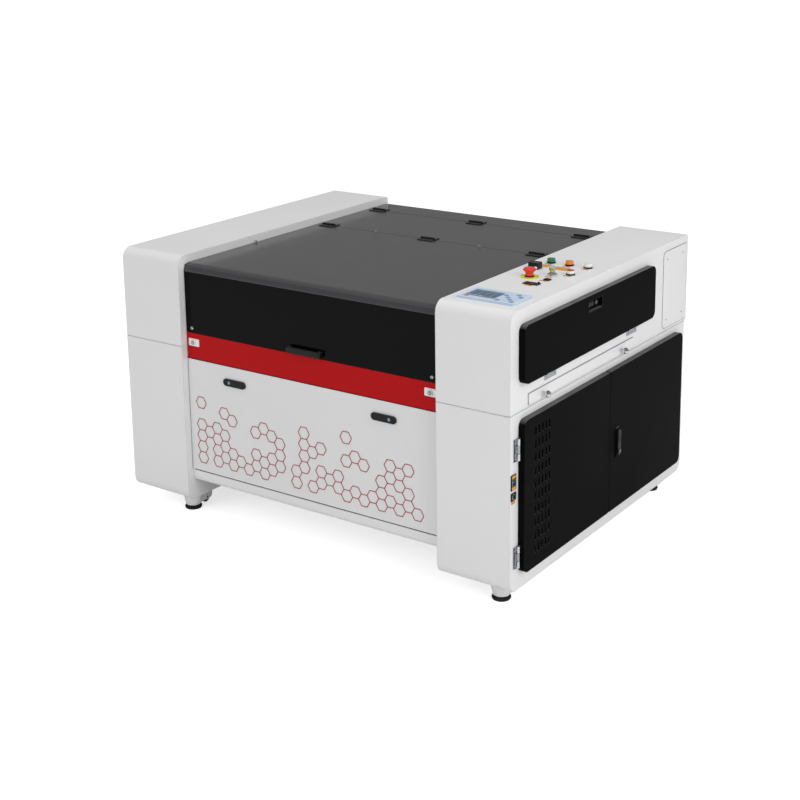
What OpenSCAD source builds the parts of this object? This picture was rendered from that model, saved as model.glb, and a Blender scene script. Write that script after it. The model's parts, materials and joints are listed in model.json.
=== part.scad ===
// Carbon dioxide laser cutting machine with two side cabinets, a folding lid,
// through-feed slots, a lifting table and a moving gantry.
// +X is the operator's right, the front faces -Y, and the pads stand on z = 0.

/* [Cabinets] */
// Width over the two side cabinets
total_w = 1560; // [1500:10:1700]
// Depth of the upper cabinets
depth = 1220; // [1200:10:1320]
// Height of the cabinet tops above the floor
total_h = 940; // [930:5:980]
// Width of each side cabinet
cab_w = 260; // [250:5:300]
// Gap between the floor and the cabinets
foot_gap = 62; // [60:1:70]
// Height of the lower cabinets
lower_h = 564; // [556:2:572]
// Thickness of the cabinet sheet
sheet = 2.5; // [2:0.5:3]
// Radius of the long front and bottom bends
corner_r = 38; // [20:1:45]
// Radius of the upper rear bend
rear_r = 14; // [8:1:20]
// How far the lower cabinets end short of the upper ones at the rear
rear_step = 12; // [6:1:20]
// Height of the shadow line between lower and upper cabinet
seam_h = 2; // [1:0.5:3]
// Depth of the shadow line
seam_d = 1.5; // [1:0.5:1.5]

/* [Centre section] */
// Set-back of the front panels behind the cabinet fronts
front_back = 26; // [24:1:34]
// Rise of the centre floor above the cabinet bottoms
floor_rise = 70; // [60:1:80]
// Height of the bottom strip in front
strip_h = 42; // [36:1:44]
// Radius of the strip's lower bend
strip_r = 20; // [10:1:24]
// Height of the slot flap's lower edge above the floor
band_z = 582; // [578:1:586]
// Height of the slot flap
band_h = 90; // [84:1:94]
// Thickness of flap and front panel sheet
panel_t = 2; // [1.5:0.5:3]
// Depth of the returns behind flap and front panel
return_d = 14; // [8:1:18]
// Radius of the pivot pins at the ends of flap and front panel
pivot_r = 2; // [1.5:0.25:2.5]

/* [Lid] */
// Drop from the cabinet tops to the lid
lid_drop = 27; // [20:1:32]
// Thickness of the lid sheet
lid_t = 3; // [2:0.5:4]
// Gap between the lid and the cabinets
lid_gap = 2; // [1.5:0.5:4]
// Distance from the cabinet fronts to the front lid's hinge line
front_hinge_y = 760; // [740:5:780]
// Distance from the cabinet fronts to the rear lid's hinge line
rear_hinge_y = 1082; // [1060:5:1100]
// Radius of the lid's front bend
lid_r = 25; // [12:1:30]
// Height of the bent lip in front
lip_h = 27; // [26:1:34]
// Thickness of the acrylic window
window_t = 5; // [4:0.5:6]
// Height of the lid's side skirts
skirt_h = 25; // [20:1:30]
// Sideways shift of the hinges off the middle
hinge_shift = -15; // [-30:5:30]
// Distance between neighbouring hinges
hinge_pitch = 447; // [380:1:455]
// Length of a lid hinge
lid_hinge_l = 62; // [50:1:80]
// Length of the pull handle
handle_l = 140; // [100:5:200]

/* [Side doors] */
// Thickness of the black doors
door_t = 22; // [18:1:26]
// Sheet of the black doors
door_sheet = 2; // [1.5:0.5:3]
// Corner radius of the black doors
door_r = 24; // [15:1:35]
// Distance from the cabinet fronts to the doors
door_y = 48; // [46:1:56]
// Length of the upper side door
side_door_l = 870; // [840:5:900]
// Height of the upper side door
side_door_h = 181; // [170:1:185]
// Drop from the cabinet tops to the upper side door
side_door_drop = 47; // [45:1:55]
// Width of each lower door leaf
leaf_w = 550; // [530:5:560]
// Height of the lower doors
leaf_h = 486; // [460:2:490]
// Rise of the lower doors above the cabinet bottoms
leaf_rise = 54; // [50:1:60]
// Gap between the two lower leaves
leaf_gap = 3; // [2:0.5:5]
// Overlap of a door over its opening
door_lap = 12; // [8:1:14]
// Length of a side hinge
side_hinge_l = 70; // [50:2:90]
// Radius of the hinge barrels
barrel_r = 5; // [4:0.5:5.5]
// Radius of the hinge pins
pin_r = 2.5; // [2:0.25:3]

/* [Through feed] */
// Height of the slots above the cabinet seam
slot_rise = 12; // [10:1:14]
// Height of the slots
slot_h = 24; // [16:1:26]
// Length of the side slots
slot_l = 680; // [600:10:700]
// Thickness of a slot cover
cover_t = 3; // [2:0.5:4]
// Overlap of a cover over its slot
cover_lap = 6; // [5:0.5:8]
// Radius of the ball knobs
knob_r = 11; // [8:0.5:12]

/* [Table and gantry] */
// Length of the table
table_w = 940; // [900:5:945]
// Depth of the table
table_d = 596; // [560:2:600]
// Height of the table frame
table_frame_h = 30; // [24:1:36]
// Number of table slats
slat_count = 14; // [8:1:20]
// Radius of the lead screws
screw_r = 8; // [6:0.5:9]
// Section of the welded frame tubes
tube_s = 40; // [30:1:40]
// Wall of the frame tubes
tube_t = 3; // [2:0.5:4]
// Height of the gantry beam
beam_h = 50; // [40:1:60]
// Radius of the laser tube
laser_r = 40; // [30:1:42]
// Length of the laser tube
laser_l = 1250; // [1100:10:1400]

/* [Top controls] */
// Width of the control screen
screen_w = 198; // [160:1:210]
// Depth of the control screen
screen_d = 116; // [90:1:130]
// Height of the control screen
screen_h = 6; // [3:0.5:10]
// Outer radius of the button bezels
bezel_r = 14.75; // [13:0.25:16]
// Height of the button bezels
bezel_h = 5; // [4:0.5:6]
// Radius of the button caps
cap_r = 13.2; // [11:0.1:13.4]
// Height of the button caps
cap_h = 10; // [6:0.5:14]
// Travel of the buttons
press = 3; // [1:0.5:3.2]
// Radius of the emergency stop's head
stop_r = 20; // [16:0.5:24]

/* [Feet and outlet] */
// Radius of a levelling pad
pad_r = 30; // [22:1:32]
// Radius of a castor wheel
wheel_r = 20; // [16:0.5:22]
// Width of a castor wheel
wheel_w = 22; // [16:1:26]
// Outer radius of the exhaust spigot
spigot_r = 75; // [50:1:80]
// Length of the exhaust spigot
spigot_l = 60; // [40:1:80]

/* [Hidden] */
$fn = 48;

// Clearances
seat = 0.3;         // moving piece to its seat
fit = 0.05;         // radial play of a pin in its bore
over = 1;           // how far a cutter reaches past a face

// Main planes
x_out = total_w / 2;
x_in = x_out - cab_w;
z_low = foot_gap;
z_seam = foot_gap + lower_h;
lid_z = total_h - lid_drop;
lower_d = depth - rear_step;
floor_z = foot_gap + floor_rise;
shift_y = -(lower_d + spigot_l) / 2;

// Doors and their openings, and how far knobs and levers stand out at the sides
side_reach = x_out + door_t + 10;
side_door_z = total_h - side_door_drop - side_door_h;
hinge_out = barrel_r + 1;
hinge_drop = barrel_r + 2;
side_hinge_ys = [door_y + side_door_l * 0.215, door_y + side_door_l * 0.845];
leaf_z = z_low + leaf_rise;
rear_leaf_y = door_y + leaf_w + leaf_gap;
leaf_hinge_zs = [leaf_z + 56, leaf_z + leaf_h - 88];

// Front
flap_axis_z = band_z - 1;
flap_pivot_y = front_back + panel_t / 2;
panel_bottom = floor_z + strip_h + pivot_r + 1.5;
panel_axis_z = panel_bottom - 1;
panel_top = flap_axis_z - pivot_r - 0.5;
panel_half = x_in - lid_gap - 0.5;
flap_top = band_z + band_h;
catch_x = panel_half - 32;
catch_w = 46;
catch_h = 26;
catch_z = band_z + 58;
latch_x = 308;
latch_z = panel_top - 55;
latch_l = 97;
latch_w = 25;

// Slots
slot_z = z_seam + slot_rise;
slot_y = 110;
cover_knob_ys = [slot_y + slot_l * 0.11, slot_y + slot_l * 0.87];
front_slot_half = table_w / 2;

// Lid
lid_half = x_in - lid_gap;
hinge_z = lid_z + 5;
lid_knuckle_r = 4;
lid_pin_r = 2;
knuckle_half = 10.5;
hinge_xs = [for (i = [-1:1]) hinge_shift + i * hinge_pitch];
lid_end_gap = 1.5;
ledge_top = lid_z - lid_t - skirt_h;
ledge_w = 20;
bar_w = 32;
bar_h = skirt_h - 2 * seat;
window_bottom = flap_top + 2.3;
window_top = lid_z - lip_h;

// Frame and table
frame_z = floor_z + sheet;
post_ys = [64, front_hinge_y - tube_s];
cross_ys = [64, 540, lower_d - sheet - tube_s - 20];
post_x = x_in - tube_s - 4;
beam_z0 = z_seam + 64;
rail_beam_h = 30;
rail_h = 15;
rail_w = 15;
rail_x = x_in - 20;
rail_y0 = post_ys[0] + 6;
rail_y1 = front_hinge_y - 6;
table_top = slot_z;
table_y = (post_ys[0] + tube_s + post_ys[1] - table_d) / 2;
screw_x = x_in - 35;
screw_ys = [table_y + 50, table_y + table_d - 50];
nut_r = screw_r + 7;
pulley_r = 18;
pulley_z = frame_z + tube_s + 6;
belt_h = 10;
belt_t = 2;
tube_bay_h = 185;
shelf_z = ledge_top - tube_bay_h;
tube_y = 965;
tube_z = shelf_z + 90;
partition_y = front_hinge_y + 8;
partition_half = x_in - sheet - seat;

// Gantry
truck_z0 = beam_z0 + rail_beam_h + 6;
truck_h = 24;
truck_w = 34;
truck_l = 60;
gantry_z = truck_z0 + truck_h;
gantry_y = 660;
gantry_d = 50;
x_rail_t = 8;
x_rail_h = 14;
head_x = 400;
head_y = gantry_y - x_rail_t - 27;

// Controls, measured from the cabinet fronts
screen_at = [x_in + 130, 126];
stop_at = [x_in + 93, 397];
green_at = [x_in + 62, 592];
orange_at = [x_in + 129, 592];
white_at = [x_in + 196, 592];
red_at = [x_in + 190, 486];
key_at = [x_in + 146, 448];
meter_at = [x_in + 54, 500];
socket_at = [x_in + 144, 322];
jack_at = [x_in + 162, 388];
stem_r = 5;
bezel_floor = 1;
shank_floor = 2;
cap_z = total_h + bezel_floor + press + 0.4;
shank_r = 10.9;
shank_l = 26;
nose_r = 9;

// Feet
left_foot_x = -(x_in + 56);
right_foot_x = x_out - 76;
front_foot_y = 80;
rear_foot_y = lower_d - 90;
feet = [[left_foot_x, front_foot_y], [right_foot_x, front_foot_y],
    [left_foot_x, rear_foot_y], [right_foot_x, rear_foot_y]];
wheel_back = pad_r + wheel_r + 4;
wheel_lift = 3;
axle_r = 4;
stem_foot_r = 6;

// Mounting plate of the electronics
plate_t = 3;
plate_l = 530;
plate_h = 380;
plate_rear = 78;
plate_rise = 120;

// Outlet
spigot_z = floor_z + 270;
spigot_t = 1.5;

// ---------- Basic forms ----------

// A block between two opposite corners
module block(lo, hi) {
    translate(lo) cube([hi[0] - lo[0], hi[1] - lo[1], hi[2] - lo[2]]);
}

// Outlines drawn in (Y, Z), (X, Z) and (X, Y)
module along_x(x0, x1) {
    translate([x0, 0, 0]) rotate([90, 0, 90]) linear_extrude(height = x1 - x0) children();
}

module along_y(y0, y1) {
    translate([0, y1, 0]) rotate([90, 0, 0]) linear_extrude(height = y1 - y0) children();
}

module along_z(z0, z1) {
    translate([0, 0, z0]) linear_extrude(height = z1 - z0) children();
}

module rod_x(x0, x1, y, z, r) {
    translate([x0, y, z]) rotate([0, 90, 0]) cylinder(h = x1 - x0, r = r);
}

module rod_y(y0, y1, x, z, r) {
    translate([x, y1, z]) rotate([90, 0, 0]) cylinder(h = y1 - y0, r = r);
}

module rod_z(z0, z1, x, y, r) {
    translate([x, y, z0]) cylinder(h = z1 - z0, r = r);
}

// One rounded corner to cut away: sx and sy point into the outline
module corner_cut(x, y, sx, sy, r) {
    difference() {
        translate([sx > 0 ? x - over : x - r, sy > 0 ? y - over : y - r])
            square([r + over, r + over]);
        translate([x + sx * r, y + sy * r]) circle(r = r);
    }
}

// A rectangle with its own radius at each corner: low left, low right, high right, high left
module round_rect(p, s, r) {
    difference() {
        translate(p) square(s);
        if (r[0] > 0) corner_cut(p[0], p[1], 1, 1, r[0]);
        if (r[1] > 0) corner_cut(p[0] + s[0], p[1], -1, 1, r[1]);
        if (r[2] > 0) corner_cut(p[0] + s[0], p[1] + s[1], -1, -1, r[2]);
        if (r[3] > 0) corner_cut(p[0], p[1] + s[1], 1, -1, r[3]);
    }
}

module on_side(side) {
    if (side < 0) mirror([1, 0, 0]) children();
    else children();
}

// From the machine's front plane to the middle of its footprint
module placed() {
    translate([0, shift_y, 0]) children();
}

// ---------- Cabinets ----------

module slot_outline(grow = 0) {
    round_rect([slot_y - grow, slot_z - grow], [slot_l + 2 * grow, slot_h + 2 * grow],
        [2, 2, 2, 2]);
}

module side_door_outline(grow = 0) {
    r = door_r + grow;
    round_rect([door_y - grow, side_door_z - grow],
        [side_door_l + 2 * grow, side_door_h + 2 * grow], [r, r, r, r]);
}

module upper_cabinet(side) {
    on_side(side) difference() {
        union() {
            difference() {
                along_x(x_in, x_out)
                    round_rect([0, z_seam], [depth, total_h - z_seam],
                        [0, 0, rear_r, corner_r]);
                along_x(x_in + sheet, x_out - sheet)
                    round_rect([sheet, z_seam - over],
                        [depth - 2 * sheet, total_h - z_seam - sheet + over],
                        [0, 0, rear_r - sheet, corner_r - sheet]);
            }
            // Return flange that closes the step at the rear
            block([x_in, lower_d - 20, z_seam], [x_out, depth, z_seam + sheet]);
        }
        along_x(x_in - over, x_out + over) side_door_outline(-door_lap);
        along_x(x_in - over, x_out + over) slot_outline();
        rod_x(x_in - over, x_in + sheet + over, tube_y, tube_z, laser_r + 10);
        if (side > 0) control_holes();
    }
}

module control_holes() {
    for (p = [stop_at, green_at, orange_at, white_at, red_at, key_at])
        rod_z(total_h - sheet - over, total_h + over, p[0], p[1], shank_r + 0.1);
    block([screen_at[0] - screen_w / 2 + 10, screen_at[1] - screen_d / 2 + 10,
        total_h - sheet - over],
        [screen_at[0] + screen_w / 2 - 10, screen_at[1] + screen_d / 2 - 10, total_h + over]);
}

module lower_body() {
    difference() {
        along_x(x_in, x_out)
            round_rect([0, z_low], [lower_d, lower_h], [corner_r, corner_r, 0, 0]);
        along_x(x_in + sheet, x_out - sheet)
            round_rect([sheet, z_low + sheet], [lower_d - 2 * sheet, lower_h - 2 * sheet],
                [corner_r - sheet, corner_r - sheet, 0, 0]);
        // Shadow line under the upper cabinet
        difference() {
            block([x_in - over, -over, z_seam - seam_h],
                [x_out + over, lower_d + over, z_seam + over]);
            block([x_in - 2 * over, seam_d, z_seam - seam_h - over],
                [x_out - seam_d, lower_d - seam_d, z_seam + 2 * over]);
        }
        // Bores for the pivot pins of front panel and slot flap
        for (z = [panel_axis_z, flap_axis_z])
            rod_x(x_in - over, x_in + sheet + over, flap_pivot_y, z, pivot_r + fit);
    }
}

module left_lower_cabinet() {
    color("whitesmoke") placed() on_side(-1) difference() {
        lower_body();
        along_x(x_out - sheet - over, x_out + over) service_outline(-20);
    }
}

module right_lower_cabinet() {
    color("whitesmoke") placed() difference() {
        lower_body();
        along_x(x_out - sheet - over, x_out + over)
            round_rect([door_y + door_lap, leaf_z + door_lap],
                [2 * leaf_w + leaf_gap - 2 * door_lap, leaf_h - 2 * door_lap],
                [12, 12, 12, 12]);
    }
}

module left_upper_cabinet() {
    color("whitesmoke") placed() upper_cabinet(-1);
}

module right_upper_cabinet() {
    color("whitesmoke") placed() upper_cabinet(1);
}

// Fixed cover over the left cabinet's service opening, with vent slots
service_y = 300;
service_rise = 100;
service_l = 600;
service_h = 400;
service_r = 10;
service_t = 2;
vent_from = [60, 240];
vent_pitch = [20, 32];
vent_size = [7, 22];

module service_outline(grow = 0) {
    round_rect([service_y - grow, z_low + service_rise - grow],
        [service_l + 2 * grow, service_h + 2 * grow],
        [service_r, service_r, service_r, service_r]);
}

module left_service_panel() {
    color("whitesmoke") placed() on_side(-1) difference() {
        along_x(x_out, x_out + service_t) service_outline();
        for (i = [0:9], j = [0:3])
            along_x(x_out - over, x_out + service_t + over)
                translate([service_y + vent_from[0] + i * vent_pitch[0],
                    z_low + service_rise + vent_from[1] + j * vent_pitch[1]])
                    square(vent_size);
    }
}

rear_cover_l = 183;
rear_cover_back = 14;
rear_cover_rise = 10;
rear_cover_drop = 29;
rear_cover_t = 1.5;
rear_cover_front_r = 20;
rear_cover_rear_r = 4;
rear_cover_screw_in = 29;
rear_cover_screw_up = 30;
rear_cover_screw_r = 2.5;

module service_covers() {
    y0 = depth - rear_cover_back - rear_cover_l;
    z0 = z_seam + rear_cover_rise;
    z1 = total_h - rear_cover_drop;
    color("whitesmoke") placed() for (side = [-1, 1])
        on_side(side) difference() {
            along_x(x_out, x_out + rear_cover_t)
                round_rect([y0, z0], [rear_cover_l, z1 - z0],
                    [rear_cover_front_r, rear_cover_rear_r, rear_cover_rear_r, rear_cover_front_r]);
            for (y = [y0 + rear_cover_screw_in, y0 + rear_cover_l - rear_cover_screw_in],
                z = [z0 + rear_cover_screw_up, z1 - rear_cover_screw_in])
                rod_x(x_out - over, x_out + rear_cover_t + over, y, z, rear_cover_screw_r);
        }
}

// ---------- Centre section ----------

module bottom_tray() {
    color("whitesmoke") placed() difference() {
        along_x(-x_in, x_in)
            round_rect([front_back, floor_z], [lower_d - sheet - front_back, strip_h],
                [strip_r, 0, 0, 0]);
        along_x(-x_in - over, x_in + over)
            round_rect([front_back + sheet, floor_z + sheet],
                [lower_d - front_back, strip_h], [strip_r - sheet, 0, 0, 0]);
    }
}

module rear_panel() {
    color("whitesmoke") placed() difference() {
        block([-x_in, lower_d - sheet, floor_z], [x_in, lower_d, lid_z - lid_t]);
        along_y(lower_d - sheet - over, lower_d + over)
            round_rect([-front_slot_half, slot_z], [2 * front_slot_half, slot_h],
                [2, 2, 2, 2]);
        rod_y(lower_d - sheet - over, lower_d + over, 0, spigot_z, spigot_r - spigot_t);
    }
}

module exhaust_spigot() {
    color("silver") placed() difference() {
        union() {
            rod_y(lower_d, lower_d + spigot_l, 0, spigot_z, spigot_r);
            rod_y(lower_d, lower_d + 2, 0, spigot_z, spigot_r + 18);
        }
        rod_y(lower_d - over, lower_d + spigot_l + over, 0, spigot_z, spigot_r - spigot_t);
        for (a = [45:90:315])
            rod_y(lower_d - over, lower_d + 2 + over, (spigot_r + 10) * cos(a),
                spigot_z + (spigot_r + 10) * sin(a), 2.5);
    }
}

// Fixed strip behind the rear hinges, bent down onto the rear panel
module rear_top_cover() {
    color("dimgray") placed() difference() {
        along_x(-lid_half, lid_half)
            round_rect([rear_hinge_y + lid_end_gap, lid_z - lid_t],
                [lower_d - rear_hinge_y - lid_end_gap, lid_t], [0, 0, 2, 0]);
    }
}

// Channel bar across the centre section, open below, from its top face down
module cross_bar(half, y, top) {
    difference() {
        block([-half, y, top - bar_h], [half, y + bar_w, top]);
        block([-half - over, y + 2, top - bar_h - over],
            [half + over, y + bar_w - 2, top - 2]);
    }
}

// Angle ledges under the lid's sides. One cross bar sits between them under the first
// hinge line, the other on top of them under the fixed rear strip.
module lid_ledges() {
    color("lightgray") placed() {
        for (side = [-1, 1]) on_side(side) {
            block([x_in - ledge_w, front_back + 40, ledge_top - sheet],
                [x_in, lower_d - sheet, ledge_top]);
            block([x_in - sheet, front_back + 40, ledge_top - 20],
                [x_in, lower_d - sheet, ledge_top]);
        }
        cross_bar(x_in - ledge_w - seat, front_hinge_y - bar_w / 2, ledge_top);
        cross_bar(x_in - 6, rear_hinge_y + lid_end_gap + seat, lid_z - lid_t - seat);
    }
}

// ---------- Frame ----------

module frame_tubes(inset) {
    s0 = inset;
    s1 = tube_s - inset;
    for (y = cross_ys)
        block([-x_in - (inset > 0 ? over : 0), y + s0, frame_z + s0],
            [x_in + (inset > 0 ? over : 0), y + s1, frame_z + s1]);
    for (side = [-1, 1]) on_side(side) {
        block([x_in - 60 + s0, cross_ys[0] - (inset > 0 ? over : 0), frame_z + s0],
            [x_in - 60 + s1, cross_ys[2] + tube_s + (inset > 0 ? over : 0), frame_z + s1]);
        for (y = post_ys)
            block([post_x + s0, y + s0, frame_z + tube_s - s0],
                [post_x + s1, y + s1, beam_z0 + (inset > 0 ? -sheet : 0)]);
    }
}

module base_frame() {
    color("slategray") placed() difference() {
        union() {
            frame_tubes(0);
            for (side = [-1, 1]) on_side(side) {
                // Foot plate that carries each post on the floor tube
                for (y = post_ys)
                    block([x_in - 60, y, frame_z + tube_s - 4],
                        [x_in - 4, y + tube_s, frame_z + tube_s]);
                // Beam under the linear rail, welded to the posts
                block([post_x, post_ys[0], beam_z0],
                    [x_in, post_ys[1] + tube_s, beam_z0 + rail_beam_h]);
            }
            // Rail behind the joint of front panel and slot flap
            block([-x_in, front_back + return_d + 6, panel_top - 30],
                [x_in, front_back + return_d + 26, panel_top - 4]);
        }
        frame_tubes(tube_t);
        for (side = [-1, 1]) on_side(side)
            block([post_x + tube_t, post_ys[0] - over, beam_z0 + tube_t],
                [x_in - tube_t, post_ys[1] + tube_s + over, beam_z0 + rail_beam_h - tube_t]);
    }
}

module linear_rails() {
    color("silver") placed() for (side = [-1, 1]) on_side(side)
        along_y(rail_y0, rail_y1) translate([rail_x, beam_z0 + rail_beam_h])
            difference() {
                translate([-rail_w / 2, 0]) square([rail_w, rail_h]);
                for (s = [-1, 1]) translate([s * rail_w / 2, rail_h * 0.62]) circle(r = 2);
            }
}

// ---------- Laser tube bay ----------

module tube_shelf() {
    color("lightgray") placed() difference() {
        union() {
            block([-x_in + seat, partition_y, shelf_z],
                [x_in - seat, lower_d - sheet, shelf_z + sheet]);
            block([-partition_half, partition_y, shelf_z],
                [partition_half, partition_y + sheet, ledge_top - sheet - seat]);
            for (x = [-350, 350])
                difference() {
                    block([x - 20, tube_y - laser_r - 14, shelf_z + sheet],
                        [x + 20, tube_y + laser_r + 14, tube_z]);
                    rod_x(x - 20 - over, x + 20 + over, tube_y, tube_z, laser_r + fit);
                }
        }
        rod_y(partition_y - over, partition_y + sheet + over, -x_in + 40, tube_z, 14);
    }
}

module laser_tube() {
    color("lightcyan") placed() union() {
        rod_x(-laser_l / 2 + 20, laser_l / 2 - 20, tube_y, tube_z, laser_r);
        rod_x(-laser_l / 2, laser_l / 2, tube_y, tube_z, laser_r * 0.6);
        for (x = [-laser_l / 2 + 50, laser_l / 2 - 50])
            rod_z(tube_z, tube_z + laser_r + 16, x, tube_y, 5);
    }
}

// ---------- Electronics ----------

// Modules: width and height of each, its depth off the plate, and the gaps between them
rack_gap = 40;
rack_low = 30;
supply = [240, 150];
supply_d = 120;
drive = [50, 120];
drive_d = 85;
drive_gap = 20;
drive_rise = rack_low + supply[1] + rack_gap;
control_at = 2 * rack_gap + supply[0];
control = [180, 140];
control_d = 45;
relays = [180, 110];
relays_d = 60;

// A module on the mounting plate: place and size along the wall, and depth off the plate
module rack_module(at, size, d) {
    x0 = x_in + sheet + plate_t;
    y0 = lower_d - plate_rear - plate_l + at[0];
    z0 = z_low + plate_rise + at[1];
    block([x0, y0, z0], [x0 + d, y0 + size[0], z0 + size[1]]);
}

module electronics_rack() {
    color("gainsboro") placed() {
        block([x_in + sheet, lower_d - plate_rear - plate_l, z_low + plate_rise],
            [x_in + sheet + plate_t, lower_d - plate_rear, z_low + plate_rise + plate_h]);
        // Power supply, three drives, controller and relay box
        rack_module([rack_gap, rack_low], supply, supply_d);
        for (i = [0:2])
            rack_module([rack_gap + i * (drive[0] + drive_gap), drive_rise], drive, drive_d);
        rack_module([control_at, drive_rise - 10], control, control_d);
        rack_module([control_at, rack_low + 10], relays, relays_d);
    }
}

// Plates beside the lower doors: a square data port above a round power inlet
port_y = 5;
port_w = 28;
port_t = 3;
port_floor = 1;
power_rise = 298;
power_h = 24;
power_r = 7;
port_gap = 9;
data_h = 48;
data_port = 16;

module side_ports() {
    mid_y = port_y + port_w / 2;
    power_z = z_low + power_rise;
    data_z = power_z + power_h + port_gap;
    data_mid = data_z + data_h / 2;
    cut = x_out + port_t + over;
    color("black") placed() {
        difference() {
            block([x_out, port_y, data_z], [x_out + port_t, port_y + port_w, data_z + data_h]);
            block([x_out + port_floor, mid_y - data_port / 2, data_mid - data_port / 2],
                [cut, mid_y + data_port / 2, data_mid + data_port / 2]);
        }
        difference() {
            block([x_out, port_y, power_z],
                [x_out + port_t, port_y + port_w, power_z + power_h]);
            rod_x(x_out + port_floor, cut, mid_y, power_z + power_h / 2, power_r);
        }
    }
}

// ---------- Table lift ----------

module lead_screws() {
    color("silver") placed() for (side = [-1, 1], y = screw_ys)
        on_side(side) union() {
            rod_z(frame_z + tube_s, beam_z0 - seat, screw_x, y, screw_r);
            rod_z(pulley_z, pulley_z + belt_h, screw_x, y, pulley_r);
            rod_z(frame_z + tube_s, pulley_z - 1, screw_x, y, screw_r + 5);
        }
}

module belt_outline(r) {
    x = screw_x + r;
    round_rect([-x, screw_ys[0] - r], [2 * x, screw_ys[1] - screw_ys[0] + 2 * r], [r, r, r, r]);
}

// Belt round the four pulleys, with its motor
module lift_drive() {
    motor = 57;
    motor_y = screw_ys[1];
    color("dimgray") placed() {
        along_z(pulley_z + 1, pulley_z + belt_h - 1) difference() {
            belt_outline(pulley_r + fit + belt_t);
            belt_outline(pulley_r + fit);
        }
        block([-motor / 2, motor_y - motor / 2, frame_z],
            [motor / 2, motor_y + motor / 2, pulley_z - 2]);
        rod_z(pulley_z - 2, pulley_z + belt_h, 0, motor_y, pulley_r);
    }
}

module work_table() {
    z0 = table_top - 8 - table_frame_h;
    z1 = table_top - 8;
    y0 = table_y;
    y1 = table_y + table_d;
    h = table_w / 2;
    color("darkgray") placed() difference() {
        union() {
            block([-h, y0, z0], [h, y1, z1]);
            for (side = [-1, 1], y = screw_ys) on_side(side)
                block([h - 10, y - nut_r - 3, z0], [screw_x + nut_r, y + nut_r + 3, z0 + 12]);
        }
        block([-h + 30, y0 + 30, z0 - over], [h - 30, y1 - 30, z1 + over]);
        for (side = [-1, 1], y = screw_ys) on_side(side)
            rod_z(z0 - over, z1 + over, screw_x, y, screw_r + fit);
    }
}

// Blade slats in two end bars, laid on the table frame
module table_slats() {
    h = table_w / 2 - 4;
    z1 = table_top;
    y0 = table_y + 4;
    pitch = (table_d - 8 - 4) / (slat_count - 1);
    color("silver") placed() union() {
        for (i = [0:slat_count - 1])
            block([-h, y0 + i * pitch, z1 - 8], [h, y0 + i * pitch + 4, z1]);
        for (side = [-1, 1]) on_side(side)
            block([h - 12, y0, z1 - 8], [h, y0 + table_d - 8, z1 - 3]);
    }
}

// ---------- Gantry ----------

module gantry_beam() {
    y0 = gantry_y;
    y1 = gantry_y + gantry_d;
    color("gray") placed() difference() {
        union() {
            block([-rail_x - 10, y0, gantry_z], [rail_x + 10, y1, gantry_z + beam_h]);
            for (side = [-1, 1]) on_side(side) difference() {
                block([rail_x - truck_w / 2, y0 - 5, truck_z0],
                    [rail_x + truck_w / 2 - 2, y0 - 5 + truck_l, gantry_z]);
                block([rail_x - rail_w / 2 - seat, y0 - 5 - over, truck_z0 - over],
                    [rail_x + rail_w / 2 + seat, y0 - 5 + truck_l + over,
                        beam_z0 + rail_beam_h + rail_h + seat]);
            }
            block([-head_x - 70, y0 - x_rail_t, gantry_z + 18],
                [head_x + 70, y0, gantry_z + 18 + x_rail_h]);
            // Cross-slide motor behind the left end
            block([-rail_x - 5, y1, gantry_z + 5], [-rail_x + 37, y1 + 40, gantry_z + 47]);
        }
        block([-rail_x - 10 - over, y0 + 3, gantry_z + 3],
            [rail_x + 10 + over, y1 - 3, gantry_z + beam_h - 3]);
    }
}

module laser_head() {
    top = gantry_z + beam_h;
    color("silver") placed() difference() {
        union() {
            difference() {
                block([head_x - 35, gantry_y - x_rail_t - 14, gantry_z + 4],
                    [head_x + 35, gantry_y - seat, top - 4]);
                block([head_x - 35 - over, gantry_y - x_rail_t - seat, gantry_z + 18 - seat],
                    [head_x + 35 + over, gantry_y + over, gantry_z + 18 + x_rail_h + seat]);
            }
            rod_z(table_top + 26, top, head_x, head_y, 15);
            translate([head_x, head_y, table_top + 12]) cylinder(h = 14, r1 = 4, r2 = 12);
            block([head_x - 18, head_y - 18, top], [head_x + 18, head_y + 18, top + 36]);
        }
        rod_z(table_top, table_top + 40, head_x, head_y, 2);
        rod_x(head_x - 18 - over, head_x, head_y, top + 18, 10);
    }
}

// ---------- Lid ----------

// Leaf in front of a lid hinge line, with its two bored end knuckles
module front_type_leaf(y) {
    for (x = hinge_xs) difference() {
        union() {
            block([x - lid_hinge_l / 2, y - 26, lid_z],
                [x + lid_hinge_l / 2, y - lid_knuckle_r - 0.5, lid_z + 3]);
            for (s = [-1, 1]) {
                x0 = s > 0 ? x + knuckle_half + seat : x - lid_hinge_l / 2;
                x1 = s > 0 ? x + lid_hinge_l / 2 : x - knuckle_half - seat;
                rod_x(x0, x1, y, hinge_z, lid_knuckle_r);
                block([x0, y - lid_knuckle_r - 1, lid_z + 1], [x1, y, lid_z + 3]);
            }
        }
        rod_x(x - lid_hinge_l / 2 - over, x + lid_hinge_l / 2 + over, y, hinge_z,
            lid_pin_r + fit);
    }
}

// Leaf behind a lid hinge line, with its centre knuckle and the pin
module rear_type_leaf(y) {
    for (x = hinge_xs) union() {
        block([x - lid_hinge_l / 2, y + lid_knuckle_r + 0.5, lid_z],
            [x + lid_hinge_l / 2, y + 26, lid_z + 3]);
        rod_x(x - knuckle_half, x + knuckle_half, y, hinge_z, lid_knuckle_r);
        block([x - knuckle_half, y, lid_z + 1], [x + knuckle_half, y + 5, lid_z + 3]);
        rod_x(x - lid_hinge_l / 2, x + lid_hinge_l / 2, y, hinge_z, lid_pin_r);
    }
}

module front_lid_hinges() {
    color("black") placed() front_type_leaf(front_hinge_y);
}

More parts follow.
